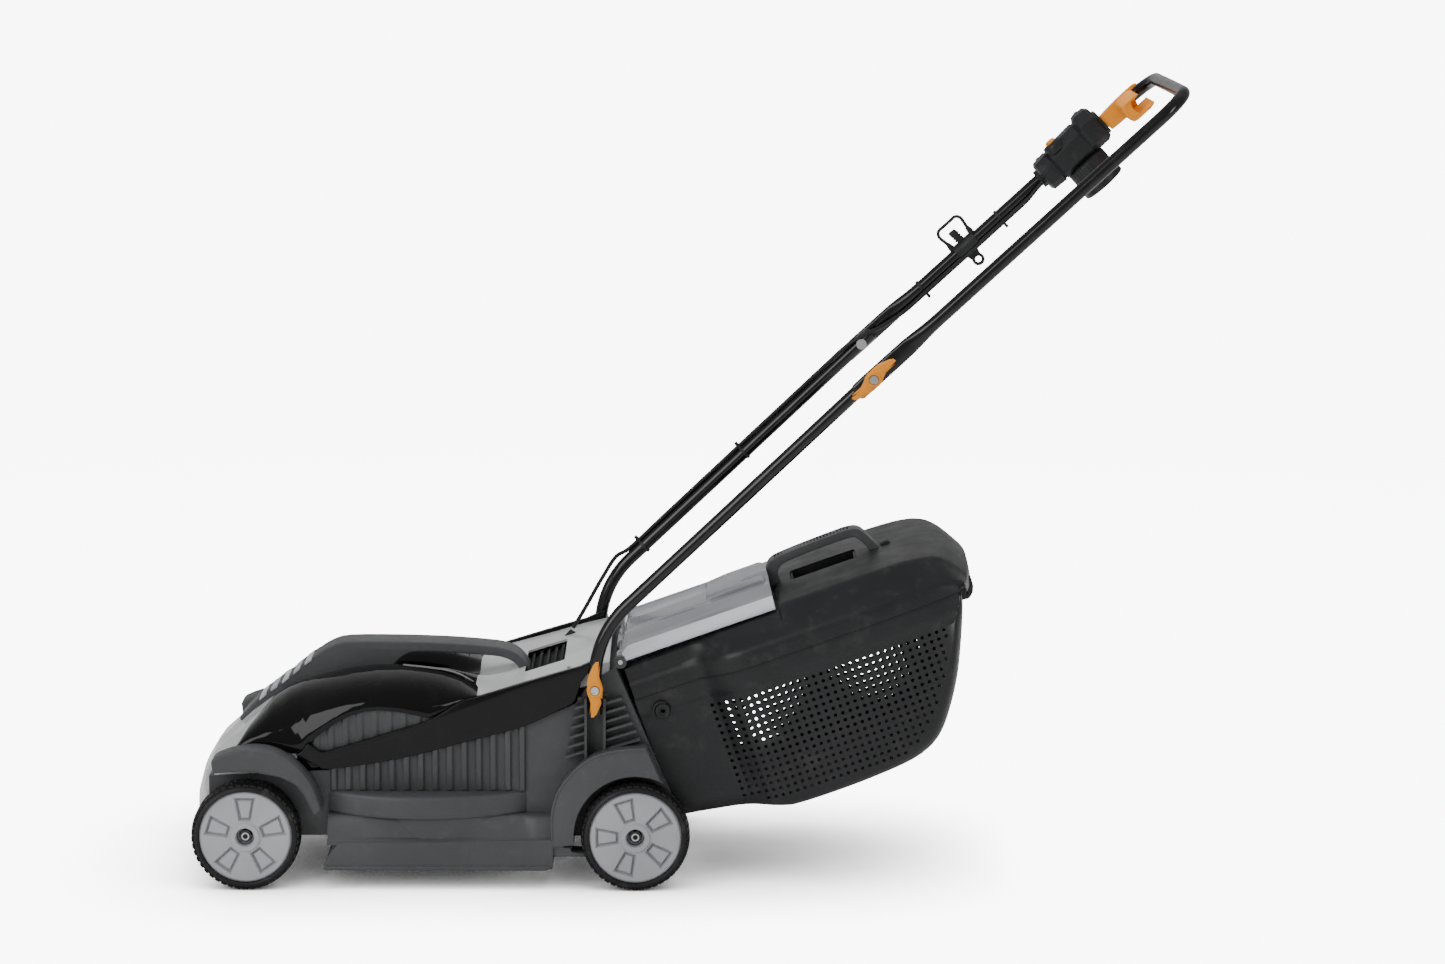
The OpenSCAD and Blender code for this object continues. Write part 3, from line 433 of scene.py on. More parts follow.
def wheel_set(end, side_name, turn):
    side = -1 if side_name == "left" else 1
    centre = deck(0 if end == "front" else REAR_AXLE_X, side * WHEEL_Y, AXLE_Z)
    body = f"{end}_{side_name}_wheel"
    # tyre: rounded shoulders, a shallow crown and the step that holds the cap
    profile = [(11, -17), (16, -17), (16, -4), (52, -4), (56, -8), (56.5, -17), (59, -18.6),
        (63.5, -18.4), (66.8, -16.5), (68.2, -13), (68.9, -8), (69.0, 0), (68.9, 8), (68.2, 12.5),
        (66.6, 16), (64.4, 18), (61.6, 18.9), (59.8, 18.2), (59.5, 16.6), (59.5, 8), (11, 8), (11, -17)]
    body_mesh = lathe(body + "_tyre", profile, centre, tyre, 128, side)
    # tread: three rows of blocks; the outer rows lean and drop at the shoulder
    verts, faces = [], []
    for d0, d1, shift in ((-SHOULDER, -7.4, 0), (-6.2, 5.2, 0.5), (6.4, SHOULDER, 0)):
        for k in range(TREAD_BLOCKS):
            t = 2 * pi * (k + shift) / TREAD_BLOCKS
            first = len(verts)
            for d in (d0, d1):
                edge = abs(d) == SHOULDER
                lean = copysign(0.028, d) if edge else 0
                for dt in (-0.047, 0.047):
                    for r in (66.2, 68.6) if edge else (68.3, 69.9):
                        a = t + dt + lean
                        verts.append(centre + Vector(
                            (r * sin(a) / 1000, side * d / 1000, r * cos(a) / 1000)))
            for face in ((0, 1, 3, 2), (4, 6, 7, 5), (0, 4, 5, 1), (2, 3, 7, 6), (1, 5, 7, 3),
                    (0, 2, 6, 4)):
                faces.append([first + i for i in face])
    tread = bevel(piece(body + "_tread", verts, faces, tyre), 0.35, 1)
    mount(join(body + "_tyre_and_tread", [body_mesh, tread]), body, "wheel_plastic", body)
    # cap, as a fine polar grid
    radii = ([11.5, 12, 12.6, 14, 16, 17.8, 18.6, 19.4] + span(20.2, 52.8, 46)
             + [54, 56, 57.2, 58, 58.6, CAP_R])

    def circle(r, d=None):
        """A ring of the cap; without a depth it follows the dished and windowed face."""
        ring = []
        for t in turns(300):
            depth = d or 15.6 + cap_front(r) - (window_depth(r * sin(t), r * cos(t)) if r > 20 else 0)
            a = t + turn
            ring.append(centre + Vector(
                (-side * r * sin(a) / 1000, side * depth / 1000, r * cos(a) / 1000)))
        return ring

    inner = [circle(8.6, 6.5), circle(11, 6.5), circle(11.5, 9), circle(11.5, 14)]
    outer = [circle(CAP_R + 0.1, 14.2), circle(CAP_R + 0.1, 9), circle(55, 9)]
    cover = loft(body + "_cap", inner + [circle(r) for r in radii] + outer, cap, caps=False, smooth=42)
    mount(cover, body, "cap_plastic", body.replace("wheel", "cap"))
    # rounded end of the axle with its cap nut, near-black as painted shade of the hub's recess
    end_profile = [(0.01, 13.6), (2.6, 13.4), (4.4, 12.4), (5.2, 10.8), (5.2, 5), (8.6, 4.6), (8.6, 3.4)]
    nut = lathe(f"{body}_axle_end", end_profile, centre, black_and_recess_shade, 48, side)
    mount(nut, f"{end}_axle", "zinc_steel")


for end_name, turn_angle in (("front", 0.0), ("rear", radians(-18))):
    for side_name in ("left", "right"):
        wheel_set(end_name, side_name, turn_angle if side_name == "left" else -turn_angle)

# ---- handle tubes
def lower_tube(side):
    """Upright from its socket, round one bend, then straight up to the fold bolt; its end is softened."""
    name = f"lower_tube_{word_of(side)}"
    foot_x, bend_r, turn = LOWER_BOLT[0], 130, pi / 2 - LOW_SLOPE
    start = 328 - bend_r * tan(turn / 2)
    route = [(foot_x, 226), (foot_x, 240), (foot_x, start - 4)]
    route += [(foot_x + bend_r * (1 - cos(a)), start + bend_r * sin(a)) for a in span(0, turn, 16)]
    route += [(FOLD[0] + s * cos(LOW_SLOPE), FOLD[1] + s * sin(LOW_SLOPE))
        for s in (-250, -120, -30, 0, 19, 21.4)]
    size = [(TUBE_R, TUBE_R)] * (len(route) - 1) + [(TUBE_R - 2, TUBE_R - 2)]
    obj = sweep(name + "_tube", [deck(x, side * LOWER_TUBE_Y, z) for x, z in route], size, paint, 32)
    return mount(obj, "chassis", "tube_paint", name)


both(lower_tube)


def upper_leg(side):
    """The flattened end, its swaged neck and the round tube of one side, up to the corner."""
    stations = [(-29, 2.6, 6.0), (-28, 4.2, 9.4), (-25, 5, 11.2), (-10, 5, 11.4), (40, 5, 11.4),
        (58, 5.2, 11.3), (72, 6.2, 10.6), (86, 7.6, 9.4), (100, 8.4, 8.6)]
    stations += [(u, TUBE_R, TUBE_R) for u in (112, 300, 480)]
    return [(Vector((u, side * TUBE_Y, 0)), (a, b)) for u, a, b in stations]


BOW_U, CORNER_R = 482, 44
left, right = upper_leg(-1), upper_leg(1)[::-1][1:]
quarter = [pi / 2 * k / 12 for k in range(1, 13)]
top = [(sin(t), -(TUBE_Y - CORNER_R) - CORNER_R * cos(t)) for t in quarter] + [(1, 0)]
top += [(cos(t), TUBE_Y - CORNER_R + CORNER_R * sin(t)) for t in quarter]
route = [p for p, _ in left] + [Vector((BOW_U + CORNER_R * u, y, 0)) for u, y in top]
route += [p for p, _ in right]
sizes = [s for _, s in left] + [(TUBE_R, TUBE_R)] * len(top) + [s for _, s in right]


def frame_sweep(name, points, size, material, sides=32):
    """A tube that lies in the handle's plane; its section keeps one axis square to that plane."""
    rings = []
    for i, p in enumerate(points):
        d = (points[min(i + 1, len(points) - 1)] - points[max(i - 1, 0)]).normalized()
        across = Vector((-d.y, d.x, 0))
        a, b = size[i]
        ring = []
        for t in turns(sides):
            power = 0.62 if a < 6 else 1.0
            q = p + across * (copysign(abs(cos(t)) ** power, cos(t)) * a)
            ring.append(handle(q.x, copysign(abs(sin(t)) ** power, sin(t)) * b, q.y))
        rings.append(ring)
    return loft(name, rings, material)


bow = frame_sweep("upper_handle_tube", route, sizes, paint)
mount(bow, "upper_handle", "tube_paint", "upper_handle")


# ---- wing nuts and bolts
def wing_nut(place, face, side, turn, body):
    outline = [(-9, -8.5), (-3, -9.8), (6, -9.2), (11, -6.6), (18, -3.6), (26, -2.2), (33, -3.2),
        (36.5, -1.0), (35.6, 2.6), (31, 5.6), (24, 8.0), (17, 10.2), (10, 10.6), (4, 10.4)]
    pts = []
    for x, z in outline + [(-x, -z) for x, z in outline[1:]]:
        if not pts or (Vector((x, z)) - Vector(pts[-1])).length > 0.5:
            pts.append((x, z))
    ordered = sorted(pts, key=lambda p: atan2(p[1], p[0]))
    angle = radians(turn)
    mirror = 1 if side < 0 else -1

    def spot(a, b, d):
        b *= mirror
        return deck(place[0] + a * cos(angle) - b * sin(angle), side * (face + d),
                    place[1] + a * sin(angle) + b * cos(angle))

    wings = []
    for d, shrink, lift in ((0.3, 0.94, 0), (1.2, 1.0, 0), (4.2, 1.0, 1.2), (6.4, 0.97, 1.2),
            (7.2, 0.86, 1.2)):
        wings.append([spot(a * shrink, b * shrink, d + (lift if abs(a) > 20 else 0)) for a, b in ordered])
    plate = loft(body + "_wings", wings, orange, smooth=50)
    boss = loft(body + "_boss", [[spot(r * cos(t), r * sin(t), d) for t in turns(40)] for r, d in (
        (10, 0.5), (10.4, 1), (10.2, 7.5), (9.2, 9), (6.4, 9.3), (6.2, 7.2))], orange)
    mount(join(body + "_moulding", [plate, boss]), body, "orange_plastic", body)


for side in (-1, 1):
    wing_nut(LOWER_BOLT, 171.9, side, 84, f"lower_wing_nut_{word_of(side)}")
    wing_nut(FOLD, 182.4, side, 43, f"upper_wing_nut_{word_of(side)}")


# ---- deck skins over the CAD shell
def rib_wave(x, start, pitch, depth):
    """A flat-topped rib every pitch, with short sloping flanks."""
    t = ((x - start) / pitch) % 1.0
    return depth * (smooth_step(t, 0.06, 0.2) - smooth_step(t, 0.5, 0.64))


band_low = table([(100, 151), (107, 152), (196, 165), (273, 185), (350, 206), (388, 223), (420, 240)])
band_top = table([(78, 176), (99, 174), (132, 183), (196, 203), (235, 216), (273, 239), (299, 247),
    (376, 271), (427, 286), (452, 298)])
window_line = [(78, 183), (90, 193), (106, 205), (120, 214), (132, 220), (151, 226), (170, 227.5),
    (196, 225), (234, 217)]
window_top = table([(76, 182)] + window_line + [(245, 214)])


def ribbed_wall(name, side, x0, x1, low, high, y, depth, flat_from=None):
    """Upright ribs between the low and high lines of x; past flat_from the wall is plain."""
    rings = []
    x = x0
    while x <= x1 + 1e-6:
        wave = 0 if flat_from and x > flat_from else rib_wave(x, x0, 18.6, depth)
        z0, z1 = low(x), high(x)
        # ribs end in a small rounded foot
        rings.append([
            deck(x, side * (y - 3), z0 - 1), deck(x, side * (y + wave * 0.2), z0),
            deck(x, side * (y + wave * 0.75), z0 + 2), deck(x, side * (y + wave), z0 + 5),
            deck(x, side * (y + wave), z1), deck(x, side * (y - 3), z1 + 2)])
        x += 1.3
    obj = skin(name, rings, grey, smooth=50)
    return mount(obj, "chassis", "chassis_plastic")


for side in (-1, 1):
    word = word_of(side)
    ribbed_wall(f"rib_wall_{word}", side, 104, 393, lambda x: 120, lambda x: band_low(x) + 5,
                149.6, 5.4, 364)
    ribbed_wall(f"window_ribs_{word}", side, 82, 240, lambda x: band_top(x) - 9,
                lambda x: window_top(x) + 4, 148.4, 2.4)


def bulge_at(x):
    """The belt and the skirt swell between the wheels: 1 in the middle, 0 at the ends."""
    return max(0.0, 1 - ((x - 230) / 127) ** 2)


def belt(side):
    word = word_of(side)
    rings = []
    for x in span(103.5, 356.5, 64):
        y = 150.6 + 37 * bulge_at(x)
        base = 166 + (y - 150) * 0.34
        section = [(150, 121.5), (max(150.2, y - 6), 121), (y - 2.6, 120.4), (y - 0.7, 118.8), (y, 116),
            (y + 0.8, 96), (y + 0.4, 93.4), (y - 1.2, 91.8), (max(150, y - 4), 91.4),
            (min(base, max(150, y - 4)), 90.8), (150, 90.5)]
        rings.append([deck(x, side * v, z) for v, z in section])
    return mount(skin(f"belt_{word}", rings, grey, smooth=40), "chassis", "chassis_plastic")


def skirt(side):
    word = word_of(side)
    flange = side_prism(f"flange_{word}", [(99.5, 29.5), (102, 39), (111, 52), (116, 58), (124, 61.6),
        (261, 63.2), (391, 66), (393, 64), (393, 33), (390, 28.5), (384, 26.4), (196, 25.8),
        (104, 26.6)], side, SKIRT_Y, 187.4, grey, 3.0)
    lip = side_prism(f"flange_lip_{word}", [(98.5, 26.2), (99.5, 31), (389, 31.6), (389.5, 28),
        (384, 25.2), (104, 25)], side, SKIRT_Y, 188.6, grey, 1.4)
    # the step between the flange and the belt
    rings = []
    for x in span(103.6, 392.6, 60):
        swell = 9 * bulge_at(x) if x < 357 else 7 * smooth_step(x, 357, 368)
        y = 167 + swell
        section = [(DECK_Y, 93), (y - 3, 92.6), (y - 0.8, 91.2), (y + 0.8, 88), (181, 66.5), (184, 64.8),
                   (186, 62.5), (186, 58)]
        rings.append([deck(x, side * v, z) for v, z in section])
    step = skin(f"step_{word}", rings, grey, smooth=40)
    end = side_prism(f"step_end_{word}", [(390.5, 58), (392.8, 58), (392.8, 92), (390.5, 92.5)], side,
        DECK_Y, 172, grey, 0.8)
    bracket = side_prism(f"bracket_{word}", [(391, 62), (404, 62), (406, 55), (414, 55), (417, 49),
        (436, 47.5), (436, 43), (391, 43)], side, DECK_Y, 184, grey, 1.2)
    return mount(join(f"skirt_{word}", [flange, lip, step, end, bracket]), "chassis", "chassis_plastic")


def arc(cx, cz, r, start, end, n):
    return [(cx + r * cos(radians(a)), cz + r * sin(radians(a))) for a in span(start, end, n)]


def flat_spline(points, per=5):
    return [(p.x, p.y) for p in spline([(x, z, 0) for x, z in points], per)]


def mudguard(side):
    word = word_of(side)
    outer = flat_spline([(-42, 160), (-40.5, 169.5), (-18, 179), (7, 183), (33, 180), (58, 167),
        (75, 151), (88, 130), (97, 103)])
    inner = flat_spline([(88, 96), (77, 122), (66, 136), (45, 146.5), (15, 153), (-10, 153.6), (-41, 151)])
    front = side_prism(f"front_guard_{word}", outer + inner, side, DECK_Y - 1, 187, grey, 2.6)
    crest = [(401, 131), (420, 155.5), (440, 171.5), (466, 181), (498, 184.6)]
    outer = flat_spline([(392, 56), (392, 102)] + crest + [(512, 185)])
    inner = [(530, 143)] + arc(REAR_AXLE_X, AXLE_Z, 79, 62, 188, 26)
    rear = side_prism(f"rear_guard_{word}", outer + inner, side, DECK_Y - 1, 187, grey, 2.2)
    # raised rim along the rear guard
    rim_path = flat_spline([(391.6, 66), (391.8, 102)] + crest + [(511, 185)])
    rim = sweep(f"guard_rim_{word}", [deck(x, side * 186.4, z) for x, z in rim_path], 1.7, grey, 10)
    return mount(join(f"mudguards_{word}", [front, rear, rim]), "chassis", "chassis_plastic")


both(belt)
both(skirt)
both(mudguard)

# ---- hood
hood_mid = table([(-75, 78), (-74, 104), (-67, 132), (-54, 154), (-40, 167), (-25, 182), (-7, 198),
    (15, 214), (50, 234), (100, 240), (150, 236), (200, 233), (250, 236), (300, 243), (330, 250),
    (380, 266), (430, 283), (464, 294)])
ridge = table([(-75, 78), (-74, 104), (-67, 131), (-54, 152), (-40, 164), (-25, 176), (-7, 194),
    (15, 211), (50, 236), (85, 250), (100, 254), (150, 261), (188, 262.5), (220, 262), (250, 260),
    (292, 250), (300, 249), (330, 252), (380, 268), (430, 284), (464, 293)])
hood_side = table([(-75, 76), (-74, 98), (-67, 120), (-54, 138), (-40, 150), (-25, 158), (15, 168),
    (100, 176), (132, 183), (196, 203), (235, 216), (273, 236), (299, 245), (376, 266), (427, 281),
    (464, 290)])


def hood_height(x, y):
    y = abs(y)
    if y <= 54:
        return hood_mid(x) + (ridge(x) - hood_mid(x)) * smooth_step(y, 8, 50)
    t = min(1.0, (y - 54) / 92)
    power = 2.4 - 0.9 * smooth_step(x, 250, 340)
    return hood_side(x) + (ridge(x) - hood_side(x)) * max(0.0, 1 - t ** power) ** 0.75


def nose_shift(x, y):
    """The nose is rounded in plan."""
    return 15 * abs(y / 146) ** 3 * (1 - smooth_step(x, -70, 10))


xs = [-75, -74.6, -74, -72, -70, -67, -63, -59, -54, -47, -40, -32, -25, -16, -7, 4] + span(15, 464, 76)
ys = [-148, -147, -146] + span(-144, -58, 24) + span(-54, 54, 37) + span(58, 144, 24) + [146, 147, 148]
grid = []
for x in xs:
    row = []
    for y in ys:
        z = hood_height(x, max(-146, min(146, y)))
        if abs(y) > 146:
            z -= (abs(y) - 146) * 12
        row.append(deck(x + nose_shift(x, y), y, z))
    grid.append(row)
hood = skin("hood", grid, silver, smooth=32)
hood.data.materials.append(gloss)
for face in hood.data.polygons:
    c = face.center
    x, y = (c.x - FRONT_X) * 1000, c.y * 1000
    if (30 < x < 286 and abs(y) < 60) or 60 < x < 289:
        face.material_index = 1
solid(hood, 3)
slot_low, slot_high = hood_height(352, 0), hood_height(404, 0)
slot_outline = [(352, slot_low - 6), (352, slot_low + 9), (404, slot_high + 9), (404, slot_high - 6)]
cut(hood, prism("slot_cutter", slot_outline, -66, 66, black_and_recess_shade, round_mm=2))
mount(hood, "chassis", "silver_plastic", "top_cover")
# the slot's floor and its bars are near-black: painted shade inside the slot
slot_floor = prism("hood_slot", [(350, 241), (406, 260), (406, 266), (350, 247)], -69, 69, black_and_recess_shade,
    round_mm=0.8)
louvres = []
for k, x in enumerate((356, 366, 376, 386, 395)):
    z = hood_height(x, 0)
    louvres.append(prism(f"hood_slot_bar_{k}", [(x, z - 8), (x + 3, z - 8), (x + 6, z - 2.2),
        (x + 3, z - 2.6)], -65, 65, black_and_recess_shade, round_mm=0.5))
mount(join("hood_grille", [slot_floor] + louvres), "chassis", "black_gloss")

# ---- gloss side panels
arch_low = table([(-14, 178), (7, 181.5), (33, 178), (58, 170), (70, 172)] + window_line
                 + [(252, 225), (273, 238), (294, 246)])
arch_top = table([(-14, 180), (-4, 195), (7, 206), (26, 226), (46, 238), (65, 246), (85, 252),
    (104, 257), (130, 263), (160, 266), (194, 266.5), (220, 264), (245, 261), (270, 256), (294, 248)])


def arch_panel(side):
    word = word_of(side)
    rings = []
    for x in [-14, -12, -9] + span(-6, 288, 88) + [291, 294]:
        z0, z1 = arch_low(x), arch_top(x)
        outer = 151.5 + 4 * sin(pi * min(1, max(0, (x + 14) / 308)))
        top_y = 54 + 60 * (1 - smooth_step(x, -16, 40)) + 26 * smooth_step(x, 250, 294)
        ring = []
        for t in span(0, 1, 22):
            a = t * pi / 2
            ring.append((top_y + (outer - top_y) * cos(a) ** 0.78, z0 + (z1 - z0) * sin(a) ** 0.92))
        # rolled lower edge, and the inner lip that drops into the valley
        ring = [(outer - 7, z0 + 0.6), (outer - 1.6, z0 - 0.2)] + ring[1:] + [(top_y - 2.4, z1 - 1.4),
            (top_y - 3.6, z1 - 5), (top_y - 3.8, z1 - 14)]
        rings.append([deck(x, side * y, z) for y, z in ring])
    arch = skin(f"arch_{word}", rings, gloss, smooth=50)
    outline = flat_spline([(62, 168), (70, 174), (78, 184), (88, 178), (99, 174), (132, 183), (196, 203),
        (235, 216), (273, 239), (299, 247), (376, 271), (427, 286)], 4) + [(444, 294), (452, 298.5),
        (446, 289), (440, 281), (433, 273), (427, 263), (424, 252), (421, 243), (416, 237)]
    outline += flat_spline([(388, 223), (350, 206), (273, 185), (196, 165), (107, 151), (90, 155),
        (74, 162)], 4)
    band = side_prism(f"band_{word}", outline, side, 147, 157.4, gloss, 2.6, 4)
    obj = join(f"side_panel_{word}_moulding", [arch, band])
    return mount(obj, "chassis", "black_gloss", f"side_panel_{word}")


both(arch_panel)

# ---- carrying handle on the hood
spine_low = [(-25, 186), (-7, 206), (13, 223.5), (33, 237), (48, 249.5), (64, 263), (80, 274), (97, 284)]
spine = flat_spline(spine_low + [(120, 289.6), (185, 290),
                     (251, 288), (304, 284), (323, 281), (337, 276), (348, 267), (355, 257), (359, 246)], 3)
under = flat_spline([(346, 246), (342, 256), (334, 264), (320, 269.5), (300, 272), (250, 275),
    (214, 276), (200, 274.4), (188, 268), (177, 257), (168, 246)], 3) + [(120, 246), (90, 243),
    (50, 226), (15, 204), (-18, 178)]
grip = prism("carry_handle_moulding", spine + under, -25, 25, grey, round_mm=6.5, segments=5)
parts = [grip]
# near-black strips under the grip: painted shade of its notches
for k in range(6):
    x, z0, z1 = 205 + k * 18, 272.8 - k * 0.5, 274.4 - k * 0.5
    parts.append(prism(f"grip_notch_{k}", [(x, z1), (x + 1.2, z1), (x + 1.2, z0), (x, z0)], -24, 24, black_and_recess_shade))
mount(join("carry_handle_and_grip", parts), "chassis", "chassis_plastic", "carry_handle")
spine_top = table(spine_low)
strips = []
for k in range(5):
    x0, x1 = 2 + k * 15, 11.5 + k * 15
    z0, z1 = spine_top(x0), spine_top(x1)
    strips.append(prism(f"louvre_{k}", [(x0, z0 - 4), (x0, z0 + 0.5), (x1, z1 + 0.5), (x1, z1 - 4)],
        -26.2, 26.2, silver if k % 2 == 0 else cap, round_mm=1.0))
mount(join("front_louvre_strips", strips), "chassis", "silver_plastic", "front_louvre")

# ---- grass catcher
def eased(points):
    """Like table(), but rounded through the points."""
    return table(flat_spline(points, 10))


wide = eased([(-6, 148.5), (60, 150), (88, 155), (106, 169), (122, 181), (138, 188), (150, 190),
    (175, 190.3), (290, 190), (330, 188.5), (360, 185.5), (385, 182), (405, 179), (422, 174), (432, 170)])
narrow = eased([(-6, 143.5), (60, 145.5), (88, 149), (106, 157), (122, 167), (138, 173), (150, 175),
    (290, 175), (330, 173), (360, 169), (385, 164), (405, 159), (422, 154), (432, 151)])
belly = eased([(-6, -2), (57, -10), (89, -16), (120, -24), (152, -29.5), (220, -30), (289, -26),
    (325, -19), (350, -5), (371, 20), (395, 60), (416, 108), (428, 140), (432, 158)])
perforated = eased([(84, -8), (150, -17), (220, -18), (289, -14), (318, -7), (340, 8), (360, 33),
    (383, 70), (398, 103), (404, 131)])


def lower_section(a):
    """Half a section of the basket, from its rim down to the middle of its floor."""
    w, v, b0 = wide(a), narrow(a), belly(a)
    corner = min(24.0, (RIM_B - b0) * 0.42)
    foot = b0 + corner
    pts = []
    for b, inset in ((RIM_B, 0), (160, 0.1), (150, 0.3), (144.5, 0.6), (141.5, 2.0), (139, 2.8),
            (132, 3.2)):
        pts.append((w - inset - (RIM_B - b) * 0.03, max(b, foot)))
    y_top = w - 3.2 - 36.6 * 0.03
    for t in span(0.12, 1, 9):
        b = 132 + (foot - 132) * t
        pts.append((y_top + (v - y_top) * t ** 0.9, max(min(b, 132), foot)))
    for t in span(0.12, 1, 8):
        angle = t * pi / 2
        pts.append((v - corner * (1 - cos(angle)), foot - corner * sin(angle)))
    return pts + [(v - corner - (v - corner) * t, b0 - 1.2 * sin(pi * t / 2)) for t in (0.25, 0.5, 0.75, 1)]


def front_edge(a, b):
    """Low down, the basket's front edge stands up to 12 mm further back."""
    return a + 12 * smooth_step(40 - b, 0, 50) * (1 - smooth_step(a, -4, 60))


stations = (span(-4, 84, 12) + span(90, 156, 14) + span(164, 316, 20) + span(322, 418, 25)
            + [421, 424, 426.5, 428.5, 430, 431, 431.8])
rings = []
for a in stations:
    half = lower_section(a)
    bulge = 10 * smooth_step(a, 300, 425)
    rings.append([
        basket(front_edge(a, b) + bulge * (1 - (y / 175) ** 2), b, y) for y, b in two_halves(half)])
lower = skin("catcher_basket", rings, charcoal, smooth=38)
solid(lower, BASKET_WALL)


def hole_cutter(side):
    """All the round holes of one side wall, as one cutter."""
    pitch, r = 9.75, 2.45
    verts, faces = [], []
    for i in range(34):
        for k in range(16):
            a, b = 88 + i * pitch, 129 - k * pitch
            if a > 401 or b < perforated(a) + 4.5:
                continue
            near, far = [[basket(a + r * cos(t), b + r * sin(t), side * y) for t in turns(HOLE_SIDES)]
                         for y in (wide(a) + 6, narrow(a) - 14)]
            add_drill(verts, faces, near, far)
    return piece(f"cutter_{side}", verts, faces, charcoal)


def rear_cutter():
    """Holes through the sloping back of the basket."""
    r, reach = 2.4, 16
    verts, faces = [], []
    for i in range(-12, 13):
        for k in range(9):
            y, b = i * 11.0, 30 + k * 10.5
            a = next((a for a in span(340, 431, 92) if belly(a) >= b), 431) + 10 * (1 - (y / 175) ** 2)
            near, far = [[basket(a + d, b + r * sin(t) - d * 0.45, y + r * cos(t))
                for t in turns(HOLE_SIDES)] for d in (reach, -reach)]
            add_drill(verts, faces, near, far)
    return piece("cutter_rear", verts, faces, charcoal)


cut(lower, hole_cutter(-1))
cut(lower, hole_cutter(1))
cut(lower, rear_cutter())
mount(lower, "catcher", "catcher_plastic", "catcher_lower")

ridge_y = eased([(-6, 139), (88, 142), (122, 146), (150, 150), (374, 148), (405, 142), (425, 134),
    (438, 124)])
lid_top = eased([(-6, 213.5), (96, 216), (200, 217.3), (207, 218), (211, 223), (216, 224.6), (260, 225),
    (330, 225), (374, 223.5), (398, 219.5), (412, 214), (422, 205), (430, 193), (438, 179)])
shoulder = eased([(-6, 190), (330, 191), (375, 190), (405, 188), (420, 184), (430, 180), (438, 174)])


def lid_section(a):
    """Half a section of the lid, from its rim up to the middle."""
    w, r, top, s = wide(min(a, 432)) + 0.9 - max(0, a - 432) * 1.2, ridge_y(a), lid_top(a), shoulder(a)
    pts = [(w - 2.6, 167.0), (w, 167.2), (w + 0.2, 169.4), (w + 0.2, 175), (w, (169.4 + s) / 2),
        (w - 0.2, s - 5), (w - 1.6, s - 1), (w - 4.6, s + 2.6)]
    y1, b1 = r + 5.5, top - 4.6
    for t in span(0.15, 1, 7):
        pts.append((w - 4.6 + (y1 - w + 4.6) * t, s + 2.6 + (b1 - s - 2.6) * t + 0.9 * sin(pi * t)))
    pts += [(r + 1.8, top - 1.9), (r - 2.5, top - 0.3), (r - 9, top + 0.2)]
    return pts + [(r - 9 - (r - 9) * t, top + 0.2 + 1.3 * sin(pi * t / 2)) for t in span(0.14, 1, 8)]


def lid_a(a, y):
    """The lid's rear is rounded in plan."""
    return a + LID_BULGE * smooth_step(a, 300, 430) * (1 - (y / LID_ARC_Y) ** 2)


stations = (span(-3, 84, 12) + span(90, 156, 14) + span(164, 204, 6) + [207, 209, 211, 213, 216]
            + span(222, 396, 26) + span(400, LID_REAR_A, 22))
rings = []
for a in stations:
    half = lid_section(a)
    section = two_halves(half)
    rings.append([basket(lid_a(a, y), b, y) for y, b in section])
lid = skin("catcher_lid", rings, charcoal, smooth=38)
solid(lid, BASKET_WALL, even=False)
# the lid's own rear wall, which closes its last section down past the rim
wall_rows = [[basket(lid_a(LID_REAR_A, y) - back, min(b, low), y) for y, b in section]
             for back, low in ((0, 200), (0.6, 172), (2.2, 160))]
rear_wall = solid(skin("lid_rear_wall", wall_rows, charcoal, smooth=38), 2.2, even=False)
seams = []
for side in (-1, 1):
    seam_line = [(a, lid_section(a)[1][0] + 0.25) for a in stations]
    route = [basket(lid_a(a, y), 167.4, side * y) for a, y in seam_line]
    seams.append(sweep(f"lid_seam_{side}", route, 0.9, black_and_recess_shade, 8))
pocket_outline = [(236, 206), (231, 230), (323, 230), (319, 206)]
cut(lid, prism("pocket_cutter", pocket_outline, -30, 30, black_and_recess_shade, basket, 4))
tray = prism("lid_pocket", [(232, 224.2), (230, 206), (233, 203), (321, 203), (324, 206), (322, 224.4),
    (319, 224.4), (318, 208), (236, 208), (235, 224.2)], -31, 31, charcoal, basket, 0.8)
wall_outline = [(232, 206), (232, 224.6), (322, 224.8), (322, 206)]
walls = [prism(f"lid_pocket_wall_{k}", wall_outline, *pair, charcoal, basket, 0.8)
         for k, pair in enumerate(((-32.5, -29.8), (29.8, 32.5)))]
hook = prism("lid_rear_grip", [(420, 184), (434, 189), (444, 183), (452, 172), (455, 162), (454.4, 153),
    (451, 145), (444, 139), (434, 140), (430, 148)], -96, 96, charcoal, basket, 2.4, 4)
stop = prism("lid_stop", [(356, 224), (358, 229.5), (368, 230.2), (372, 224)], -9, 9, charcoal, basket, 1.5)
mount(join("catcher_lid_and_grip", [lid, rear_wall, tray, hook, stop] + walls + seams), "catcher",
    "catcher_plastic", "catcher_upper")

outline = flat_spline([(205, 221), (204, 236), (207, 249), (214, 256), (228, 259), (262, 261),
    (300, 262.2), (324, 262), (337, 258), (345, 247), (352, 233), (358, 222)], 4)
outline += flat_spline([(343, 222), (338, 236), (332, 246), (322, 250.6), (280, 250.8), (238, 248.6),
    (225, 245.6), (218, 237), (217, 221)], 4)
arch = prism("catcher_handle_arch", outline, -15, 15, grey, basket, 4.2, 4)
parts = [arch]
for k in range(23):
    for y in (-7, 0, 7):
        a = 222 + k * 4.6
        b = 258.6 + 3.4 * smooth_step(a, 222, 300)
        rings = [[basket(a + r * cos(t), b + h, y + r * sin(t)) for t in turns(10)]
                 for r, h in ((1.5, -0.5), (1.3, 0.5), (0.8, 0.95), (0.05, 1.1))]
        parts.append(loft("dot", rings, black_and_recess_shade, caps=False))
mount(join("catcher_carrying_handle", parts), "catcher", "chassis_plastic", "catcher_handle")


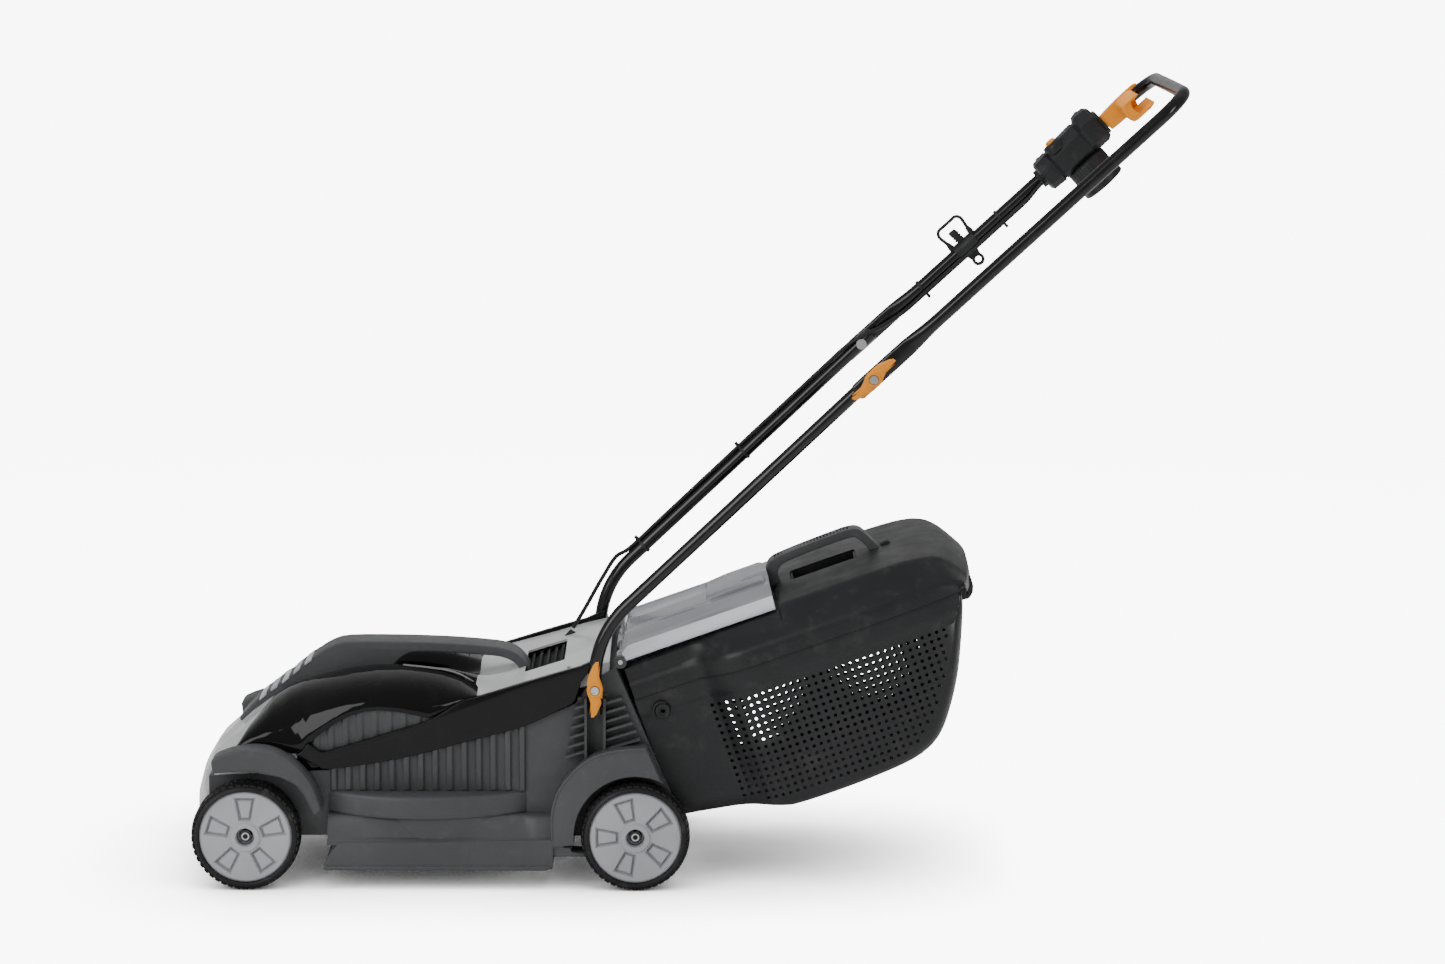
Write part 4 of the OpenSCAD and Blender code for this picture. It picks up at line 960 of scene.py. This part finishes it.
def catch_boss(side):
    centre = basket(26, 143, side * 150)
    profile = [(3, 0.5), (3, 1.6), (5.4, 1.8), (5.8, 3.4), (7, 4), (9, 3.8), (10, 2.8), (10.6, 0),
        (10.6, -4)]
    ring = lathe(f"catch_ring_{side}", profile, centre, charcoal, 40, side)
    arm_line = [(18, 136), (14, 142), (16, 150), (24, 155), (33, 152)]
    arm = sweep(f"catch_arm_{side}", spline([
        basket(a, b, side * 152.4) for a, b in arm_line], 5), 1.5, charcoal, 10)
    return [ring, arm]


mount(join("catcher_side_catches", catch_boss(-1) + catch_boss(1)), "catcher", "catcher_plastic",
    "catcher_catches")

# ---- rear flap
flap_line = [(0, 241.6), (60, 241.2), (78, 240.4), (84, 238.6), (96, 234.4), (101, 233.2), (118, 232),
    (124, 230.6), (136, 226.2), (141, 225), (147, 224.4), (149.4, 223.2), (150, 220.6)]
rings = []
for a in [-2.6, -2, 0, 3, 6.5, 10, 13] + span(16, 146, 24) + span(150, 204, 22) + [205.4, 206]:
    rise = smooth_step(a, -8, 12)
    half = []
    for y in span(0, 150, 76):
        b = table(flap_line)(y)
        b = 222.6 + (b - 222.6) * rise if y < 149 else b
        dome = smooth_step(a, 150, 181) * (1 - smooth_step(abs(y), 27, 38)) * 7.6
        if 20 < a < 140:
            dome += 1.1 * (1 - smooth_step(abs(abs(y) - 60), 1.2, 3.2))
        half.append((y, b + dome))
    section = [(-y, b) for y, b in reversed(half)] + half[1:]
    rings.append([basket(a, b, y) for y, b in section])
flap = skin("flap_cover", rings, smoke, smooth=30)
flap.data.materials.append(flap_painted_highlight)
# faces more than 118 mm from the middle take the lighter copy: a painted highlight along both edges of the
# flap
for face in flap.data.polygons:
    if abs(face.center.y) > 0.118:
        face.material_index = 1
solid(flap, 2.6)
panel = prism("flap_panel", [(112, 239), (128, 244.2), (150, 246), (196, 246.4), (201, 243), (201, 238)],
    -62, 62, smoke, basket, 2.0)
knuckles = [panel]
for y0, y1 in ((-110, -96), (-40, 40), (96, 110)):
    ring_pts = [(-4.4 + 6.3 * cos(radians(t)), 220.2 + 6.3 * sin(radians(t))) for t in range(0, 360, 15)]
    knuckles.append(prism("flap_knuckle", ring_pts, y0, y1, smoke, basket, 0.6))
mount(join("flap_cover_and_knuckles", [flap] + knuckles), "rear_flap", "flap_plastic", "rear_flap")

# ---- switch box
def box_ring(u, low, high, near, far, top_cut, low_cut):
    """A section of the switch box at u; its inner edges are cut off."""
    section = [(high, near + top_cut), (high, far - 5), (high - 5, far), (low + 5, far), (low, far - 5),
               (low, near + low_cut), (low + low_cut, near), (high - top_cut, near)]
    return [handle(u, v, y) for v, y in section]


box_rings = [box_ring(*r) for r in (
    (322.6, -12.5, 12.5, 164.5, 190, 6, 6), (327.5, -12.5, 12.5, 164.5, 190, 6, 6),
    (327.8, -17, 16, 150, 194, 9, 8), (331, -20.5, 20.5, 144, 195, 11, 9),
    (350, -21.5, 23, 142.6, 195, 12, 9), (351.5, -19.8, 21.4, 144.6, 194, 12, 9),
    (353, -19.8, 21.4, 144.6, 194, 12, 9), (354, -21, 25, 143, 195, 13, 8),
    (402, -21, 27.5, 142.6, 195, 13, 8), (403.5, -19.6, 26, 144.4, 194, 13, 8),
    (405, -19.6, 26, 144.4, 194, 13, 8), (409, -20.6, 32, 142.2, 195, 14, 10),
    (413, -20, 33.4, 142, 195, 14, 10), (428, -20, 32.6, 142, 195, 14, 10),
    (433.4, -16.5, 27.5, 146, 192, 12, 8), (433.7, -13.5, 20.5, 144.5, 190, 7, 6),
    (437.4, -13, 20, 145, 189, 7, 6))]
housing = bevel(loft("switch_box_skin", box_rings, switch), 1.1, 3, 14)
label = prism("blank_plate", [(359, 2.5), (362, 9.5), (397, 10.5), (397, 2.5)], 143.0, 144.4, grey,
    handle, 0.5)


def spin(name, profile, u, y, material, steps=72, ribs=0.0, ribbed=()):
    """Turns (radius, v) about the line square to the tubes; the named rings carry fine ribs."""
    rings = []
    for k, (r, v) in enumerate(profile):
        radii = [r + (ribs if k in ribbed and i % 4 < 2 else 0) for i in range(steps)]
        rings.append([handle(u + q * cos(t), v, y + q * sin(t)) for q, t in zip(radii, turns(steps))])
    return loft(name, rings, material, smooth=40)


dome = spin("button_dome", [(15, 16), (14.6, 24), (13.4, 27.2), (11, 29), (8.6, 29.6), (8.2, 29),
    (8.2, 22)], *BUTTON, switch)
heads = []
for k, (u, v) in enumerate(((340, 21.6), (418, 33.0))):
    profile = [(3.4, v - 1), (3.4, v + 0.6), (2.8, v + 1.1), (1.3, v + 1.1), (1.1, v + 0.3)]
    heads.append(spin(f"box_screw_{k}", profile, u, 188, zinc, 24))
mount(join("switch_box_housing", [housing, label, dome] + heads), "upper_handle", "switch_plastic",
    "switch_box_base", "switch_box_cover", "switch_box_screws")
button = spin("safety_button_cap", [(4.4, 20), (4.4, 12), (7.2, 12), (7.2, 31), (6.9, 32.2), (6.2, 32.9),
    (5, 33.2), (1.5, 32.4)], *BUTTON, orange, 48)
mount(button, "safety_button", "orange_plastic", "safety_button")

# ---- mains inlet drum
drum = spin("drum", [(20, -19), (25, -19.5), (28, -21), (28.5, -23), (28.5, -47), (29.4, -49),
    (30.3, -50), (30.5, -51.5), (30.5, -59.8), (29.6, -61), (26, -61), (25.2, -60.2), (25, -58),
    (25, -31.5), (24, -30.4), (13, -30.2), (13, -33), (12, -34), (10, -34)], *DRUM, switch, 144, 0.55,
    (3, 4))
key_outline = [(DRUM[0] + a, v) for a, v in ((-3.5, -60), (-3.5, -52), (3.5, -52), (3.5, -60))]
keys = [prism(f"drum_key_{k}", key_outline, y, y + 1.6, switch, handle, 0.5)
        for k, y in enumerate((131.9, 192.6))]
mount(join("inlet_drum", [drum] + keys), "upper_handle", "switch_plastic", "inlet_shroud")

# ---- start lever
paddle_outline = [(424, -5.5), (424, 11.5), (438.5, 12.6), (452, 13.8), (470, 14.8), (488, 15),
    (498, 14.8), (503.4, 12.6), (502, 10.4), (492, 10), (487.4, 7), (487.4, -7), (485, -11), (478, -13),
    (466, -13.6), (452, -13.2), (439.5, -12.4), (437.8, -5.5)]
paddle = prism("lever_paddle", paddle_outline, 149, 157.6, orange, handle, 1.8, 4)
channel = [(461.5, 0), (461.8, -8), (464, -12.4), (469, -14), (492, -14), (499, -12.2), (501.4, -10),
    (494, -10.2), (472, -10.2), (467.6, -6.4), (466.6, 0), (467.6, 6.4), (472, 10), (488, 10),
    (491.5, 11.4), (487, 13.4), (470, 13.2), (464.6, 11), (462, 6)]
trough = prism("lever_trough", channel, 60, 150, orange, handle, 1.0, 3)
end_wall = prism("lever_end", [(464, -9.6), (464, 9.6), (478, 10.4), (474.6, 4), (474.6, -4),
    (478, -10.6)], 60.6, 63, orange, handle, 0.6)
rib_outline = [(464.5, -9.6), (464.5, 9.6), (475.4, 9.8), (472.6, 0), (475.4, -9.8)]
ribs = [prism(f"lever_rib_{k}", rib_outline, y, y + 1.8, orange, handle, 0.5)
        for k, y in enumerate((74, 86, 98, 110, 122, 134))]
mount(join("start_lever_moulding", [paddle, trough, end_wall] + ribs), "start_lever", "orange_plastic",
    "start_lever")

# ---- cord hook
half_loop = [(15.5, 9), (17, 17), (18.6, 26), (19.2, 34), (15, 39.8), (6, 40.2)]
loop_line = flat_spline([(-a, v) for a, v in half_loop] + half_loop[::-1])
loop_route = [handle(HOOK_U + a, v, TUBE_Y) for a, v in loop_line]
loop = sweep("hook_loop", loop_route, 2.3, switch, 16)


def collar(name, u0, u1, inner, outer, material, y=TUBE_Y, steps=56):
    """A sleeve round the tube, with softened ends."""
    profile = [(u0, inner), (u0, outer - 0.8), (u0 + 0.8, outer), (u1 - 0.8, outer), (u1, outer - 0.8),
        (u1, inner)]
    rings = [[handle(u, r * sin(t), y + r * cos(t)) for t in turns(steps)] for u, r in profile]
    return loft(name, rings + rings[:1], material, caps=False, smooth=40)


clip = collar("hook_clip", HOOK_U - 17, HOOK_U + 17, 8.7, 11.2, switch)


def hook_prism(name, outline, half, round_mm):
    """An outline given from the hook's place, as thick as twice half and centred on the tube."""
    points = [(HOOK_U + a, v) for a, v in outline]
    return prism(name, points, TUBE_Y - half, TUBE_Y + half, switch, handle, round_mm)


knuckle = [(21, 6), (21.2, 12), (20, 19), (14.5, 19.5), (13, 12), (12, 6)]
knuckles = [hook_prism(f"hook_knuckle_{k}", [(s * a, v) for a, v in knuckle][::-s], 4, 1.2)
            for k, s in enumerate((-1, 1))]
prong = hook_prism("hook_prong", [(-5.5, 8), (-6.5, 20), (-8, 27.5), (-5, 29), (3, 28), (4, 24),
    (3.4, 18), (5.5, 8)], 4.2, 1.0)
prong_ribs = [
    hook_prism(f"hook_prong_rib_{k}", [(-7.2, v), (-7.4, v + 1.5), (4.8, v + 1.5), (5, v)], 4.9, 0.3)
    for k, v in enumerate((13, 17, 21))]
eye = lathe("hook_eye", [(4.35, -3), (7.6, -3), (8.5, -2.2), (8.5, 2.2), (7.6, 3), (4.35, 3),
    (4.35, -3)], handle(HOOK_U, -24, TUBE_Y), switch, 48)
web = hook_prism("hook_web", [(-10, -9), (10, -9), (7.4, -19), (-7.4, -19)], 2.6, 0.6)
mount(join("cord_hook_moulding", [loop, clip, prong, eye] + knuckles + prong_ribs + [web]),
    "upper_handle", "switch_plastic", "cord_hook")

# ---- power cable, clipped along the right tubes
def beside(x, lift, y):
    """A point over the lower tube's line at x, lifted square to the tube."""
    z = FOLD[1] + (x - FOLD[0]) * tan(LOW_SLOPE)
    return deck(x - lift * sin(LOW_SLOPE), y, z + lift * cos(LOW_SLOPE))


cable_line = [
    deck(410, 97, 284), deck(415, 100, 291), deck(426, 109, 308), deck(438, 128, 327),
    deck(452, 145, 349), deck(467, 157, 370), beside(494, 11.3, 163), beside(540, 11.3, 163),
    beside(620, 11.3, 163), beside(700, 11.3, 163), beside(750, 11.3, 162), handle(-20, 11, 159),
    handle(6, 7, 156.6), handle(30, 0, 157), handle(52, -5, 162), handle(76, -8.4, 167.4),
    handle(110, -8.8, 168.4), handle(180, -9, 168.4), handle(250, -8.8, 168.4), handle(290, -8.4, 167.6),
    handle(312, -5, 165), handle(325, -3.5, 164)]
cable = sweep("power_cable", spline(cable_line, 8), 2.8, rubber, 14)
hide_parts("lower_cable", "upper_cable")
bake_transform(cable)

# ---- bolt ends in the wing nuts
def bolt_end(place, face, side, body, node):
    end = lathe(f"bolt_end_{node}_{side}", [(3.6, 0), (5.4, 0.2), (5.8, 0.8), (5.8, 3.0), (5.2, 3.8),
        (3.4, 3.8), (3.0, 2.4), (0.6, 2.2)], deck(place[0], side * face, place[1]), zinc, 36, side)
    mount(end, body, "zinc_steel")


for side in (-1, 1):
    bolt_end(LOWER_BOLT, 179.2, side, "chassis", "lower")
    bolt_end(FOLD, 189.8, side, "upper_handle", "upper")

# ---- slots in the flattened tube end, right side, drawn as near-black bars: painted shade of the slots
marks = [
    prism(f"tube_slot_{k}", [(a, v - 0.9), (a, v + 0.9), (b, v + 0.9), (b, v - 0.9)], 165.2, 168.6, black_and_recess_shade,
    handle, 0.3) for k, (a, b, v) in enumerate(((4, 25, 3.2), (31, 52, 3.6)))]
mount(join("tube_slot_marks", marks), "upper_handle", "tube_paint")

# ---- CAD nodes kept, with worked surfaces
dress = {
    zinc: ("motor_can deck_screws lower_handle_bolts upper_handle_bolts flap_rod flap_spring "
           "blade_bolt switch_box_screws switch_springs motor_bearing"),
    # the axle nuts take the darkened steel: painted shade of the hub's recess
    hub_shade_steel: "front_axle_nuts rear_axle_nuts",
    turned: "front_axle rear_axle motor_shaft",
    blade_paint: "blade",
    black_and_recess_shade: "motor_end_cap blade_fan switch_unit",
    rubber: "lower_cable upper_cable",
    brass: "inlet_pins",
    switch: ("lower_cable_ties upper_cable_ties cable_gland switch_box_base switch_box_cover "
             "inlet_shroud cord_hook"),
    orange: "start_lever safety_button",
    grey: "deck_shell side_skirts mudguards handle_sockets carry_handle catcher_handle",
    charcoal: "catcher_lower catcher_upper catcher_catches",
    silver: "top_cover front_louvre",
    gloss: "side_panel_left side_panel_right",
    smoke: "rear_flap",
}
for material, names in dress.items():
    for node in names.split():
        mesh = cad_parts[node].data
        mesh.materials.clear()
        mesh.materials.append(material)

# ---- stage, light and camera
floor_mat = finish("floor_paper", (0.86, 0.86, 0.86), 0.8, wear=0.0, lighter=(0.88, 0.88, 0.88))
tree = floor_mat.node_tree
glow = tree.nodes["Principled BSDF"]
glow.inputs["Emission Color"].default_value = (1, 1, 1, 1)


def calculate(operation, value, second):
    """A math node on a linked value and either a number or another linked value."""
    node = add_node(tree, "Math", (value, 0))
    node.operation = operation
    if isinstance(second, float):
        node.inputs[1].default_value = second
    else:
        tree.links.new(second, node.inputs[1])
    return node.outputs["Value"]


# the paper glows white to the camera, dimmed where the mower stands close over it: a painted contact shadow
contact_shadow_occlusion = add_node(tree, "AmbientOcclusion", Distance=0.22)
contact_shadow_occlusion.samples = 8
painted_contact_shadow = calculate("POWER", contact_shadow_occlusion.outputs["AO"], 2.6)
camera_glow_with_shadow = calculate("MULTIPLY", painted_contact_shadow, add_node(tree, "LightPath").outputs["Is Camera Ray"])
tree.links.new(calculate("MULTIPLY", camera_glow_with_shadow, 8.0), glow.inputs["Emission Strength"])
profile = [(-9, 0), (4, 0)] + [(4 + 3 * sin(t), 3 - 3 * cos(t)) for t in span(0.1, pi / 2, 12)] + [(7, 12)]
floor = skin("floor", [[Vector((x, y, z)) for y, z in profile] for x in (-14, 14)], floor_mat, smooth=60)

world = bpy.data.worlds.new("studio")
world.use_nodes = True
world.node_tree.nodes["Background"].inputs["Color"].default_value = (1, 1, 1, 1)
world.node_tree.nodes["Background"].inputs["Strength"].default_value = 0.34
bpy.context.scene.world = world


def lamp(name, place, target, size, power, mirrored=True):
    data = bpy.data.lights.new(name, "AREA")
    data.shape = "RECTANGLE"
    data.size, data.size_y = size
    data.energy = power
    obj = bpy.data.objects.new(name, data)
    bpy.context.scene.collection.objects.link(obj)
    obj.location = place
    obj.rotation_euler = (Vector(target) - Vector(place)).to_track_quat("-Z", "Y").to_euler()
    obj.visible_glossy = mirrored


lamp("overhead", (0.1, 0.2, 3.0), (0.05, 0, 0.2), (3.4, 2.2), 75, False)
lamp("front_left", (-3.0, -3.2, 2.2), (0, 0, 0.3), (3.0, 3.0), 115)
lamp("right_low", (3.0, -2.4, 1.5), (0.2, 0, 0.4), (1.0, 1.4), 26)
lamp("behind", (0.4, 2.8, 1.7), (0.1, 0, 0.5), (2.4, 0.7), 40, False)

camera = bpy.data.objects.new("camera", bpy.data.cameras.new("camera"))
bpy.context.scene.collection.objects.link(camera)
camera.data.lens = 94.17
camera.data.sensor_width = 36
camera.data.clip_end = 60
camera.location = (FRONT_X + 0.5579, -4.8788, 1.3247)
camera.rotation_euler = (radians(80.4), 0, radians(-0.6))
camera.rotation_euler.rotate_axis("Z", radians(0.31))
bpy.context.scene.camera = camera
